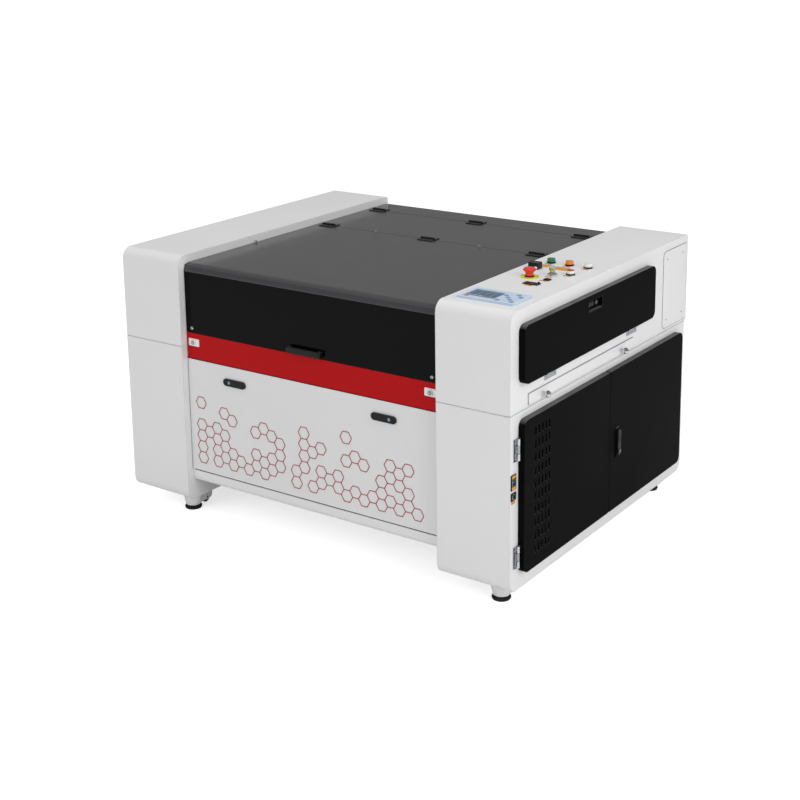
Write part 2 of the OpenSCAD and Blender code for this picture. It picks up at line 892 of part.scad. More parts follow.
module mid_lid_hinges() {
    color("black") placed() {
        rear_type_leaf(front_hinge_y);
        front_type_leaf(rear_hinge_y);
    }
}

module rear_lid_hinges() {
    color("black") placed() rear_type_leaf(rear_hinge_y);
}

module mid_lid() {
    y0 = front_hinge_y + lid_end_gap;
    y1 = rear_hinge_y - lid_end_gap;
    color("dimgray") placed() union() {
        block([-lid_half, y0, lid_z - lid_t], [lid_half, y1, lid_z]);
        for (side = [-1, 1]) on_side(side)
            block([lid_half - lid_t, y0, ledge_top + seat], [lid_half, y1, lid_z]);
    }
}

module front_lid() {
    y0 = front_back;
    y1 = front_hinge_y - lid_end_gap;
    arm_y = y0 + window_t + 26;
    color("dimgray") placed() union() {
        difference() {
            along_x(-lid_half, lid_half)
                round_rect([y0, window_top], [y1 - y0, lip_h], [0, 0, 0, lid_r]);
            along_x(-lid_half - over, lid_half + over)
                round_rect([y0 + lid_t, window_top - over],
                    [y1 - y0, lip_h - lid_t + over], [0, 0, 0, lid_r - lid_t]);
        }
        for (side = [-1, 1]) on_side(side)
            block([lid_half - lid_t, y0 + lid_r, ledge_top + seat], [lid_half, y1, lid_z - 1]);
        // Header behind the front lip
        block([-lid_half, y0 + window_t, ledge_top + seat],
            [lid_half, y0 + window_t + lid_t, lid_z - lid_t]);
    }
    // Frame behind the window, screwed up under the header: two bent arms and a rail
    color("dimgray") placed() union() {
        for (side = [-1, 1]) on_side(side) {
            block([lid_half - lid_t, y0 + window_t, window_bottom + 2],
                [lid_half, arm_y, ledge_top]);
            block([lid_half - 38, y0 + window_t, window_bottom + 2],
                [lid_half, y0 + window_t + lid_t, ledge_top]);
        }
        block([-lid_half, y0 + window_t, window_top - 24],
            [lid_half, y0 + window_t + lid_t, ledge_top]);
    }
}

module lid_window() {
    color("#141414") placed() difference() {
        block([-lid_half, front_back, window_bottom],
            [lid_half, front_back + window_t, window_top]);
        for (side = [-1, 1]) on_side(side)
            rod_y(front_back - over, front_back + window_t + over, lid_half - 27,
                window_bottom + 16, 3);
    }
}

// Bow handle at the lower edge of the window
module lid_handle() {
    z0 = window_bottom + 6;
    color("black") placed() difference() {
        along_z(z0, z0 + 18)
            round_rect([-handle_l / 2, front_back - 20], [handle_l, 20], [9, 9, 0, 0]);
        along_z(z0 - over, z0 + 18 + over)
            round_rect([-handle_l / 2 + 14, front_back - 12], [handle_l - 28, 12 + over],
                [4, 4, 0, 0]);
    }
}

// ---------- Front flap and panel ----------

module pivot_pins(z) {
    for (side = [-1, 1]) on_side(side)
        rod_x(panel_half - 8, x_in + sheet - 0.5, flap_pivot_y, z, pivot_r);
}

module slot_flap() {
    color("firebrick") placed() union() {
        block([-panel_half, front_back, band_z], [panel_half, front_back + panel_t, flap_top]);
        block([-panel_half, front_back, flap_top - panel_t],
            [panel_half, front_back + return_d, flap_top]);
        pivot_pins(flap_axis_z);
    }
}

module flap_catches() {
    color("white") placed() for (side = [-1, 1]) on_side(side) union() {
        along_y(front_back - 2, front_back)
            round_rect([catch_x - catch_w / 2, catch_z - catch_h / 2], [catch_w, catch_h],
                [3, 3, 3, 3]);
        rod_y(front_back - 8, front_back, catch_x, catch_z, 8);
    }
}

module front_panel() {
    color("gainsboro") placed() difference() {
        union() {
            block([-panel_half, front_back, panel_bottom],
                [panel_half, front_back + panel_t, panel_top]);
            for (side = [-1, 1]) on_side(side)
                block([panel_half - panel_t, front_back, panel_bottom],
                    [panel_half, front_back + return_d, panel_top]);
            block([-panel_half, front_back, panel_bottom],
                [panel_half, front_back + return_d, panel_bottom + panel_t]);
            pivot_pins(panel_axis_z);
        }
        for (side = [-1, 1])
            rod_y(front_back - over, front_back + panel_t + over, side * latch_x, latch_z,
                9 + fit);
    }
}

// Stadium-shaped escutcheon and a key barrel that turns the cam behind the panel
module latch(side) {
    x = side * latch_x;
    r = latch_w / 2;
    color("black") placed() union() {
        along_y(front_back - 5, front_back - seat)
            round_rect([x - latch_l / 2, latch_z - r], [latch_l, latch_w], [r, r, r, r]);
        rod_y(front_back - 5, front_back + panel_t + 8, x, latch_z, 9);
        block([x - 6, front_back + panel_t + 4, latch_z - 6],
            [x + 6, front_back + panel_t + 8, latch_z + 34]);
    }
}

module left_latch() {
    latch(-1);
}

module right_latch() {
    latch(1);
}

// ---------- Side hinges ----------
// In the hinge's own frame X runs along the pin, Y points out of the wall and the moving
// part lies towards +Z. The wall's face is at y = -hinge_out.

hinge_k = side_hinge_l * 0.18;

module fixed_leaf() {
    h = side_hinge_l / 2;
    union() {
        block([-h, -hinge_out, -barrel_r - 17], [h, -hinge_out + 2.5, -barrel_r - 1]);
        block([-hinge_k, -hinge_out, -barrel_r - 3], [hinge_k, 0, 0]);
        rod_x(-hinge_k, hinge_k, 0, 0, barrel_r);
        rod_x(-h, h, 0, 0, pin_r);
    }
}

module door_knuckles() {
    h = side_hinge_l / 2;
    for (s = [-1, 1]) {
        x0 = s > 0 ? hinge_k + seat : -h;
        x1 = s > 0 ? h : -hinge_k - seat;
        difference() {
            union() {
                rod_x(x0, x1, 0, 0, barrel_r);
                block([x0, -3, 0], [x1, 3, hinge_drop + 2]);
            }
            rod_x(x0 - over, x1 + over, 0, 0, pin_r + fit);
        }
    }
}

module at_side_hinges() {
    for (y = side_hinge_ys)
        translate([x_out + hinge_out, y, side_door_z - hinge_drop]) rotate([0, 0, -90])
            children();
}

module at_front_leaf_hinges() {
    for (z = leaf_hinge_zs)
        translate([x_out + hinge_out, door_y - hinge_drop, z]) rotate([90, -90, 180])
            children();
}

module at_rear_leaf_hinges() {
    for (z = leaf_hinge_zs)
        translate([x_out + hinge_out, rear_leaf_y + leaf_w + hinge_drop, z])
            rotate([180, 0, 0]) rotate([90, -90, 180]) children();
}

module side_door_hinges() {
    color("silver") placed() for (side = [-1, 1])
        on_side(side) at_side_hinges() fixed_leaf();
}

module leaf_hinges() {
    color("silver") placed() {
        at_front_leaf_hinges() fixed_leaf();
        at_rear_leaf_hinges() fixed_leaf();
    }
}

// ---------- Black doors ----------

// A door pan: rounded skin with its rim turned back to the cabinet
module door_pan(p, s, r) {
    inner = [r[0] - door_sheet, r[1] - door_sheet, r[2] - door_sheet, r[3] - door_sheet];
    difference() {
        along_x(x_out + seat, x_out + door_t) round_rect(p, s, r);
        along_x(x_out, x_out + door_t - door_sheet)
            round_rect([p[0] + door_sheet, p[1] + door_sheet],
                [s[0] - 2 * door_sheet, s[1] - 2 * door_sheet], inner);
    }
}

// Recessed pull in the upper door
module side_door(side) {
    grip = [90, 34];
    gy = door_y + side_door_l / 2 - grip[0] / 2;
    gz = side_door_z + side_door_h - 18 - grip[1];
    r = door_r;
    color("#191919") placed() on_side(side) difference() {
        union() {
            door_pan([door_y, side_door_z], [side_door_l, side_door_h], [r, r, r, r]);
            at_side_hinges() door_knuckles();
            along_x(x_out + door_t - 14, x_out + door_t - over)
                round_rect([gy - 2, gz - 2], [grip[0] + 4, grip[1] + 4], [6, 6, 6, 6]);
        }
        along_x(x_out + door_t - 12, x_out + door_t + over)
            round_rect([gy, gz], grip, [4, 4, 4, 4]);
    }
}

module right_side_door() {
    side_door(1);
}

module left_side_door() {
    side_door(-1);
}

module front_leaf() {
    r = door_r;
    color("#191919") placed() difference() {
        union() {
            door_pan([door_y, leaf_z], [leaf_w, leaf_h], [r, 4, 4, r]);
            at_front_leaf_hinges() door_knuckles();
        }
        // Ten rows of five upright vent slots
        for (i = [0:4], j = [0:9])
            along_x(x_out + door_t - door_sheet - over, x_out + door_t + over)
                translate([door_y + 62 + i * 21, leaf_z + 46 + j * 42]) square([8, 26]);
    }
}

handle_y = rear_leaf_y + 54;
handle_z = leaf_z + leaf_h * 0.475;
lever_l = 88;
lever_r = 10;
lever_base_t = 3;
lever_pin_r = 4;
lever_pivot_z = handle_z + lever_l / 2 - lever_r;

module rear_leaf() {
    r = door_r;
    color("#191919") placed() difference() {
        union() {
            door_pan([rear_leaf_y, leaf_z], [leaf_w, leaf_h], [4, r, r, 4]);
            at_rear_leaf_hinges() door_knuckles();
            // Base of the swing handle
            along_x(x_out + door_t, x_out + door_t + lever_base_t)
                round_rect([handle_y - 16, handle_z - lever_l / 2 - 8], [32, lever_l + 16],
                    [8, 8, 8, 8]);
        }
        rod_x(x_out + door_t - door_sheet - over, x_out + door_t + lever_base_t + over,
            handle_y, lever_pivot_z, lever_pin_r + fit);
    }
}

// Lever that turns about its upper end
module swing_lever() {
    x0 = x_out + door_t + lever_base_t + seat;
    r = lever_r;
    color("black") placed() union() {
        along_x(x0, side_reach - 1.5)
            round_rect([handle_y - r, handle_z - lever_l / 2], [2 * r, lever_l], [r, r, r, r]);
        rod_x(x0, side_reach, handle_y, handle_z - 30, 7);
        rod_x(x_out + door_t - door_sheet - 2, x0 + 1, handle_y, lever_pivot_z, lever_pin_r);
    }
}

// ---------- Slot covers ----------

module slot_cover(side) {
    on_side(side) difference() {
        along_x(x_out + seat, x_out + seat + cover_t) slot_outline(cover_lap);
        for (y = cover_knob_ys)
            rod_x(x_out, x_out + cover_t + over, y, slot_z + slot_h * 0.42, 3 + fit);
    }
}

module cover_knobs(side) {
    on_side(side) for (y = cover_knob_ys)
        translate([0, y, slot_z + slot_h * 0.42]) rotate([0, 90, 0]) union() {
            translate([0, 0, x_out - 2]) cylinder(h = door_t, r = 3);
            translate([0, 0, x_out + seat + cover_t]) cylinder(h = 8, r = 6);
            translate([0, 0, side_reach - knob_r]) sphere(r = knob_r);
        }
}

module right_slot_cover() {
    color("whitesmoke") placed() slot_cover(1);
}

module right_cover_knobs() {
    color("silver") placed() cover_knobs(1);
}

module left_slot_cover() {
    color("whitesmoke") placed() slot_cover(-1);
}

module left_cover_knobs() {
    color("silver") placed() cover_knobs(-1);
}

// ---------- Controls ----------

module control_screen() {
    p = [screen_at[0] - screen_w / 2, screen_at[1] - screen_d / 2];
    color("lightsteelblue") placed() difference() {
        union() {
            along_z(total_h, total_h + screen_h)
                round_rect(p, [screen_w, screen_d], [6, 6, 6, 6]);
            along_z(total_h - 14, total_h)
                round_rect([p[0] + 12, p[1] + 12], [screen_w - 24, screen_d - 24],
                    [2, 2, 2, 2]);
        }
        // Sunk display window on the left
        along_z(total_h + screen_h - 1.5, total_h + screen_h + over)
            translate([p[0] + 14, p[1] + 24]) square([102, 72]);
    }
}

// Bezel and closed housing of a push button, with the guide bores of cap and stem
module bezel(at, cap_bore, stem_bore) {
    difference() {
        union() {
            rod_z(total_h, total_h + bezel_h, at[0], at[1], bezel_r);
            rod_z(total_h - shank_l, total_h, at[0], at[1], shank_r);
        }
        rod_z(total_h + bezel_floor, total_h + bezel_h + over, at[0], at[1], cap_bore);
        rod_z(total_h - shank_l + shank_floor, total_h + bezel_floor + over, at[0], at[1],
            stem_bore);
    }
}

module panel_fittings() {
    color("#222222") placed() {
        for (p = [green_at, orange_at, white_at, red_at])
            bezel(p, cap_r + fit, stem_r + fit);
        bezel(stop_at, cap_r + fit, stem_r + fit);
        bezel(key_at, nose_r + fit, nose_r + fit);
        // Tube current meter
        block([meter_at[0] - 18, meter_at[1] - 14, total_h],
            [meter_at[0] + 18, meter_at[1] + 14, total_h + 20]);
        // Data socket plate
        difference() {
            block([socket_at[0] - 26, socket_at[1] - 13, total_h],
                [socket_at[0] + 26, socket_at[1] + 13, total_h + 3]);
            for (s = [-1, 1])
                block([socket_at[0] + s * 12 - 7, socket_at[1] - 5, total_h + 1],
                    [socket_at[0] + s * 12 + 7, socket_at[1] + 5, total_h + 3 + over]);
        }
        block([jack_at[0] - 10, jack_at[1] - 9, total_h],
            [jack_at[0] + 10, jack_at[1] + 9, total_h + 4]);
    }
}

module push_cap(at) {
    union() {
        rod_z(cap_z, cap_z + cap_h, at[0], at[1], cap_r);
        rod_z(total_h - shank_l + 6, cap_z, at[0], at[1], stem_r);
    }
}

module green_button() {
    color("seagreen") placed() push_cap(green_at);
}

module orange_button() {
    color("darkorange") placed() push_cap(orange_at);
}

module white_button() {
    color("white") placed() push_cap(white_at);
}

module red_button() {
    color("crimson") placed() push_cap(red_at);
}

// Mushroom head that flares over a narrower neck
module stop_button() {
    z0 = cap_z;
    color("tomato") placed() union() {
        rod_z(z0, z0 + 8, stop_at[0], stop_at[1], cap_r);
        translate([stop_at[0], stop_at[1], z0 + 8])
            cylinder(h = 12, r1 = cap_r, r2 = stop_r);
        translate([stop_at[0], stop_at[1], z0 + 20])
            cylinder(h = 4, r1 = stop_r, r2 = stop_r - 3);
        rod_z(total_h - shank_l + 6, z0, stop_at[0], stop_at[1], stem_r);
    }
}

module key_switch() {
    color("silver") placed() union() {
        rod_z(total_h - 10, total_h + bezel_h + 4, key_at[0], key_at[1], nose_r);
        block([key_at[0] - 9, key_at[1] - 1.2, total_h + bezel_h + 4],
            [key_at[0] + 9, key_at[1] + 1.2, total_h + bezel_h + 26]);
    }
}

// ---------- Feet ----------

module foot_housings() {
    color("gainsboro") placed() for (p = feet) translate([p[0], p[1], 0]) difference() {
        union() {
            block([-38, -38, z_low - 5], [38, wheel_back + wheel_r + 4, z_low]);
            translate([0, 0, 15]) cylinder(h = z_low - 20, r1 = 26, r2 = 36);
            along_x(-wheel_w / 2 - 8, wheel_w / 2 + 8)
                round_rect([0, 16], [wheel_back + wheel_r + 4, z_low - 21], [0, 16, 0, 0]);
        }
        block([-wheel_w / 2 - 1, pad_r + 1, -over],
            [wheel_w / 2 + 1, wheel_back + wheel_r + 4 + over, z_low - 8]);
        rod_x(-wheel_w, wheel_w, wheel_back, wheel_r + wheel_lift, axle_r + fit);
        rod_z(0, z_low - 12, 0, 0, stem_foot_r + fit);
    }
}

module foot_pads() {
    color("#202020") placed() for (p = feet) translate([p[0], p[1], 0]) union() {
        cylinder(h = 8, r1 = pad_r - 2, r2 = pad_r);
        translate([0, 0, 8]) cylinder(h = 6, r1 = pad_r, r2 = 16);
        cylinder(h = z_low - 16, r = stem_foot_r);
    }
}

// Wheel and its axle, which turns in the cheeks
module castor_wheel(p) {
    color("#303030") placed() translate([p[0], p[1], 0]) union() {
        rod_x(-wheel_w / 2, wheel_w / 2, wheel_back, wheel_r + wheel_lift, wheel_r);
        rod_x(-wheel_w / 2 - 7, wheel_w / 2 + 7, wheel_back, wheel_r + wheel_lift, axle_r);
    }
}

module front_left_wheel() {
    castor_wheel(feet[0]);
}

module front_right_wheel() {
    castor_wheel(feet[1]);
}

module rear_left_wheel() {
    castor_wheel(feet[2]);
}

module rear_right_wheel() {
    castor_wheel(feet[3]);
}

base_frame();
left_lower_cabinet();
right_lower_cabinet();
left_upper_cabinet();
right_upper_cabinet();
bottom_tray();
rear_panel();
rear_top_cover();
lid_ledges();
linear_rails();
tube_shelf();
laser_tube();
exhaust_spigot();
electronics_rack();
side_ports();
service_covers();
left_service_panel();
lift_drive();
lead_screws();
foot_housings();
foot_pads();
front_left_wheel();
front_right_wheel();
rear_left_wheel();
rear_right_wheel();
control_screen();
panel_fittings();
stop_button();
green_button();
orange_button();
white_button();
red_button();
key_switch();
mid_lid();
mid_lid_hinges();
rear_lid_hinges();
front_lid();
front_lid_hinges();
lid_window();
lid_handle();
slot_flap();
flap_catches();
front_panel();
left_latch();
right_latch();
right_side_door();
left_side_door();
side_door_hinges();
front_leaf();
rear_leaf();
leaf_hinges();
swing_lever();
right_slot_cover();
right_cover_knobs();
left_slot_cover();
left_cover_knobs();
work_table();
table_slats();
gantry_beam();
laser_head();
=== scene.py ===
"""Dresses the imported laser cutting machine: finishes, small hardware, print and stage."""
import json
import math

import bmesh
import bpy
from bpy.props import FloatProperty, FloatVectorProperty, PointerProperty
from mathutils import Matrix, Vector


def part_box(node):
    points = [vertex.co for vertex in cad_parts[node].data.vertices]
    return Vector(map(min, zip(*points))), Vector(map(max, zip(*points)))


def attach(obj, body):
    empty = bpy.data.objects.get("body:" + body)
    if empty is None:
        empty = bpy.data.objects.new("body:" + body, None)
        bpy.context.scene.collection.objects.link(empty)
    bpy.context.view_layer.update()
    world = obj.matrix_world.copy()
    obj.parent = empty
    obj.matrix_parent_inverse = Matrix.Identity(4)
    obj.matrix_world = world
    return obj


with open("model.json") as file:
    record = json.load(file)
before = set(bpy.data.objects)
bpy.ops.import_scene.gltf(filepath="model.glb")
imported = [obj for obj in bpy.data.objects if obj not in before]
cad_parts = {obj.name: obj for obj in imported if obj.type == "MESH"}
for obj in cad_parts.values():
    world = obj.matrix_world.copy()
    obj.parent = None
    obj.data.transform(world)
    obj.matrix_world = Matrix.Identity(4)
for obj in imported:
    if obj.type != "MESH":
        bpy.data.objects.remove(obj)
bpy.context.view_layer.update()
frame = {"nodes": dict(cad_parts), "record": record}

bl_info = {
    "name": "Laser cutting machine dressing",
    "version": (1, 0, 0),
    "blender": (4, 5, 0),
    "location": "3D View > Sidebar > Laser machine",
    "description": "Finishes, hardware and print for a floor-standing laser cutting machine",
    "category": "Object",
}

# Shapes and places are in millimetres, and finish_piece turns them into metres.
MM = 0.001
BOTH = (-1, 1)
# Each face's outward normal and the direction that runs across it
FACES = {
    "top": ((0, 0, 1), (1, 0, 0)), "front": ((0, -1, 0), (1, 0, 0)),
    "rear": ((0, 1, 0), (-1, 0, 0)), "right": ((1, 0, 0), (0, 1, 0)),
    "left": ((-1, 0, 0), (0, -1, 0)),
}


def linear(r, g, b):
    """A colour given in display values from 0 to 255, as the shader's linear value."""
    def one(v):
        v /= 255
        return v / 12.92 if v <= 0.04045 else ((v + 0.055) / 1.055) ** 2.4
    return one(r), one(g), one(b)


# ---------- Settings ----------

def colour(name, description, rgb):
    return FloatVectorProperty(name=name, description=description, default=linear(*rgb),
                               subtype="COLOR", size=3, min=0, max=1)


def length(name, description, default_mm):
    return FloatProperty(name=name, description=description, default=default_mm * MM,
                         unit="LENGTH", subtype="DISTANCE", min=0)


def share(name, description, default):
    return FloatProperty(name=name, description=description, default=default, min=0, max=1,
                         subtype="FACTOR")


def angle(name, description, degrees):
    return FloatProperty(name=name, description=description, default=math.radians(degrees),
                         subtype="ANGLE")


class LASER_PG_finishes(bpy.types.PropertyGroup):
    cabinet: colour("Cabinet white", "Powder coat of the cabinets", (228, 228, 229))
    panel: colour("Panel grey", "Powder coat of the front panel", (224, 224, 225))
    band: colour("Band red", "Powder coat of the slot flap", (180, 12, 16))
    print_red: colour("Print red", "Ink of the line pattern", (176, 14, 22))
    door: colour("Door black", "Powder coat of the doors", (11, 11, 12))
    lid: colour("Lid grey", "Gloss coat of the lid", (64, 64, 66))
    window: colour("Window black", "Smoked acrylic of the window", (6, 6, 7))
    plastic: colour("Plastic black", "Moulded plastic of hinges and handles", (17, 17, 18))
    frame_coat: colour("Frame grey", "Coat of the welded frame", (88, 92, 98))
    screen: colour("Screen blue", "Membrane of the control screen", (188, 208, 228))
    tag: colour("Tag orange", "Bare tags beside the controls", (214, 150, 50))
    stop_ring: colour("Ring yellow", "Disc under the emergency stop", (226, 222, 52))
    # Painted highlight: a pale colour laid on the upward faces of dark coats, in place of light
    # falling from above
    dust: colour("Dust", "Dust that settles on dark coats", (150, 150, 148))
    edge_radius: length("Edge radius", "Rounding that catches light on edges", 1.2)
    peel: share("Orange peel", "Depth of the coat's fine waviness", 0.10)
    wear: share("Edge wear", "Wear along the edges", 0.25)


class LASER_PG_print(bpy.types.PropertyGroup):
    cell: length("Cell", "Side of one outlined hexagon", 23)
    line: length("Line", "Width of the printed lines", 2.5)
    proud: length("Thickness", "Thickness of the ink", 0.15)
    margin: length("Margin", "Bare border of the panel", 34)
    density: share("Density", "Share of cells drawn at the bottom", 0.92)


class LASER_PG_hardware(bpy.types.PropertyGroup):
    bolt: length("Window bolt", "Radius of the bolts on the window", 6.5)
    peg: length("Peg", "Radius of the bright cap nuts on the lid", 5.5)
    screw: length("Screw", "Radius of the small screws", 3.0)
    disc_radius: length("Stop disc", "Radius of the disc under the emergency stop", 31)
    tag_depth: length("Tag", "Depth of the narrow tags beside the controls", 9)
    wrap: length("Wrap", "Thickness of the bright wraps round the door knuckles", 0.4)


class LASER_PG_interior(bpy.types.PropertyGroup):
    belt: length("Belt", "Width of the gantry's toothed belt", 6)
    strap: length("Strap", "Thickness of the straps over the laser tube", 2)
    strap_width: length("Strap width", "Width of the straps over the laser tube", 34)
    fan: length("Fan", "Radius of the fan guard on the power supply", 46)
    module_screw: length("Module screw", "Radius of the screws on the modules", 3.5)


class LASER_PG_stage(bpy.types.PropertyGroup):
    lens: FloatProperty(name="Lens", description="Focal length in millimetres",
                        default=66.22, min=10)
    place: FloatVectorProperty(name="Camera", description="Place of the camera", size=3,
                               default=(2.8639, -4.1343, 2.0941), subtype="TRANSLATION")
    azimuth: angle("Azimuth", "Camera direction round the machine", 35.18)
    elevation: angle("Elevation", "Camera tilt downwards", 12.947)
    roll: angle("Roll", "Camera roll", -0.778)
    shift: FloatProperty(name="Shift", description="Vertical shift of the lens",
                         default=-0.2, min=-1, max=1)
    ambient: FloatProperty(name="Ambient", description="Strength of the even light",
                           default=0.45, min=0)
    mirrored: FloatProperty(name="Mirrored", description="Surroundings as glossy faces see them",
                            default=0.25, min=0)
    right_power: FloatProperty(name="Right lamp", description="Power in watts", default=95)
    front_power: FloatProperty(name="Front lamp", description="Power in watts", default=45)
    top_power: FloatProperty(name="Top lamp", description="Power in watts", default=62)


class Millimetres:
    """Reads the lengths of a group of settings in millimetres."""

    def __init__(self, group):
        self.group = group

    def __getattr__(self, name):
        return getattr(self.group, name) / MM


# ---------- Shader groups ----------

def feed(tree, socket, value):
    """Links a socket into another, or sets a plain value on it."""
    if isinstance(value, bpy.types.NodeSocket):
        tree.links.new(value, socket)
    else:
        socket.default_value = value


def add_node(tree, kind, inputs, **options):
    """A shader node with its options set and its inputs fed, by name or number."""
    node = tree.nodes.new("ShaderNode" + kind)
    for option, value in options.items():
        setattr(node, option, value)
    for key, value in inputs.items():
        feed(tree, node.inputs[key], value)
    return node


def new_group(name, inputs, outputs):
    """A shader node group with named sockets, what it gets and what it gives out."""
    group = bpy.data.node_groups.new(name, "ShaderNodeTree")
    for label, default in inputs.items():
        kind = "Color" if isinstance(default, tuple) else "Float"
        socket = group.interface.new_socket(name=label, in_out="INPUT",
                                            socket_type="NodeSocket" + kind)
        socket.default_value = default
    for label, kind in outputs.items():
        group.interface.new_socket(name=label, in_out="OUTPUT",
                                   socket_type="NodeSocket" + kind)
    got = group.nodes.new("NodeGroupInput").outputs
    given = group.nodes.new("NodeGroupOutput").inputs
    return group, got, given


def reckon(tree, operation, a, b, clamp=False):
    """The result of a Math node on two sockets or plain numbers."""
    node = add_node(tree, "Math", {0: a, 1: b}, operation=operation, use_clamp=clamp)
    return node.outputs[0]


def swing(tree, value, amount):
    """How far a noise lies from its middle, times an amount."""
    return reckon(tree, "MULTIPLY", reckon(tree, "SUBTRACT", value, 0.5), amount)


def noise(tree, vector, scale, detail):
    node = add_node(tree, "TexNoise", {"Vector": vector, "Scale": scale, "Detail": detail})
    return node.outputs["Fac"]


def blend_colour(tree, factor, a, b):
    """A colour mix; a is a socket or a plain colour, and b is a plain colour."""
    a = a if isinstance(a, bpy.types.NodeSocket) else (*a, 1)
    node = add_node(tree, "Mix", {}, data_type="RGBA")
    for key, value in (("Factor", factor), (6, a), (7, (*b, 1))):
        feed(tree, node.inputs[key], value)
    return node.outputs[2]


def edge_group():
    """Rounded-edge normal, and a mask that is 1 where an edge is worn."""
    group, got, given = new_group("Edge Wear", {"Radius": 0.001, "Scale": 60.0},
                                  {"Mask": "Float", "Normal": "Vector"})
    round_normal = add_node(group, "Bevel", {"Radius": got["Radius"]}, samples=4).outputs[0]
    flat_normal = add_node(group, "NewGeometry", {}).outputs["Normal"]
    dot = add_node(group, "VectorMath", {0: round_normal, 1: flat_normal},
                   operation="DOT_PRODUCT").outputs["Value"]
    sharp = reckon(group, "MULTIPLY", reckon(group, "SUBTRACT", 1.0, dot), 6.0)
    place = add_node(group, "TexCoord", {}).outputs["Object"]
    patches = noise(group, place, got["Scale"], 5.0)
    patches = reckon(group, "MULTIPLY", reckon(group, "SUBTRACT", patches, 0.45), 5.0)
    feed(group, given["Mask"], reckon(group, "MULTIPLY", sharp, patches, True))
    feed(group, given["Normal"], round_normal)
    return group


def coat_group():
    """Fine surface of a coat or moulding: slight colour and gloss drift, peel and specks."""
    group, got, given = new_group(
        "Coat Surface",
        {"Color": (0.8, 0.8, 0.8, 1), "Roughness": 0.4, "Fine Scale": 900.0, "Drift": 0.05},
        {"Color": "Color", "Roughness": "Float", "Height": "Float"})
    place = add_node(group, "TexCoord", {}).outputs["Object"]
    broad = noise(group, place, 2.3, 2.0)
    fine = noise(group, place, got["Fine Scale"], 2.0)
    gain = reckon(group, "ADD", swing(group, broad, got["Drift"]), swing(group, fine, 0.03))
    gain = reckon(group, "ADD", gain, 1.0)
    tint = add_node(group, "VectorMath", {0: got["Color"], "Scale": gain}, operation="SCALE")
    feed(group, given["Color"], tint.outputs[0])
    feed(group, given["Roughness"],
         reckon(group, "ADD", got["Roughness"], swing(group, broad, 0.10)))
    feed(group, given["Height"], fine)
    return group


def dust_group():
    """Painted highlight: a mask that is 1 on faces turned upwards at rest, broken up by noise,
    which lightens them as light from above would.
    """
    group, got, given = new_group("Painted Top Sheen", {"Amount": 0.3, "Scale": 14.0},
                                  {"Mask": "Float"})
    place = add_node(group, "TexCoord", {}).outputs
    facing = add_node(group, "SeparateXYZ", {0: place["Normal"]}).outputs["Z"]
    patches = noise(group, place["Object"], got["Scale"], 4.0)
    up = reckon(group, "MULTIPLY", swing(group, facing, 2.0),
                reckon(group, "ADD", patches, 0.5))
    feed(group, given["Mask"], reckon(group, "MULTIPLY", up, got["Amount"], True))
    return group


def grain_group():
    """Long fine lines of ground or drawn metal, along the object's X."""
    group, got, given = new_group("Metal Grain", {"Roughness": 0.3, "Stretch": 0.02},
                                  {"Roughness": "Float", "Height": "Float"})
    place = add_node(group, "TexCoord", {}).outputs["Object"]
    squeeze = add_node(group, "CombineXYZ", {"X": got["Stretch"], "Y": 1.0, "Z": 1.0})
    mapped = add_node(group, "VectorMath", {0: place, 1: squeeze.outputs[0]},
                      operation="MULTIPLY")
    lines = noise(group, mapped.outputs[0], 1400.0, 3.0)
    feed(group, given["Roughness"],
         reckon(group, "ADD", got["Roughness"], swing(group, lines, 0.25)))
    feed(group, given["Height"], lines)
    return group


# ---------- Materials ----------

GROUPS = {}
MATERIALS = {}


def place_group(tree, key, **values):
    node = add_node(tree, "Group", {}, node_tree=GROUPS[key])
    for label, value in values.items():
        node.inputs[label.replace("_", " ")].default_value = value
    return node.outputs


def base_material(name):
    material = MATERIALS[name] = bpy.data.materials.new(name)
    material.use_nodes = True
    return material.node_tree, material.node_tree.nodes["Principled BSDF"].inputs


def bumped(tree, shader, height, normal, strength):
    bump = add_node(tree, "Bump", {"Strength": strength, "Distance": 0.0002,
                                   "Height": height, "Normal": normal})
    feed(tree, shader["Normal"], bump.outputs[0])


def coated(name, rgb, roughness, wear=0.0, peel=1.0, worn=None, fine=900.0, coat=0.0,
           specular=0.5, drift=0.05, dust=0.0, bend=1.0):
    """A painted, moulded or membrane surface over the worn colour that shows at its edges.

    Wear, peel and bend are shares of the settings for edge wear, orange peel and edge radius.
    """
    finishes = bpy.context.scene.laser_finishes
    tree, shader = base_material(name)
    surface = place_group(tree, "coat", Color=(*rgb, 1), Roughness=roughness,
                          Fine_Scale=fine, Drift=drift)
    edge = place_group(tree, "edge", Radius=finishes.edge_radius * bend)
    strength = reckon(tree, "MULTIPLY", edge["Mask"], finishes.wear * wear)
    worn = worn or tuple(min(1, 0.55 * c + 0.12) for c in rgb)
    paint = blend_colour(tree, strength, surface["Color"], worn)
    # Painted highlight: upward faces are lightened towards a pale colour, as light from above
    # would light them
    if dust > 0:
        upward_sheen = place_group(tree, "dust", Amount=dust)
        paint = blend_colour(tree, upward_sheen["Mask"], paint, finishes.dust)
    for label, value in (("Base Color", paint), ("Roughness", surface["Roughness"]),
                         ("Specular IOR Level", specular), ("Coat Weight", coat),
                         ("Coat Roughness", 0.06)):
        feed(tree, shader[label], value)
    bumped(tree, shader, surface["Height"], edge["Normal"], finishes.peel * peel)


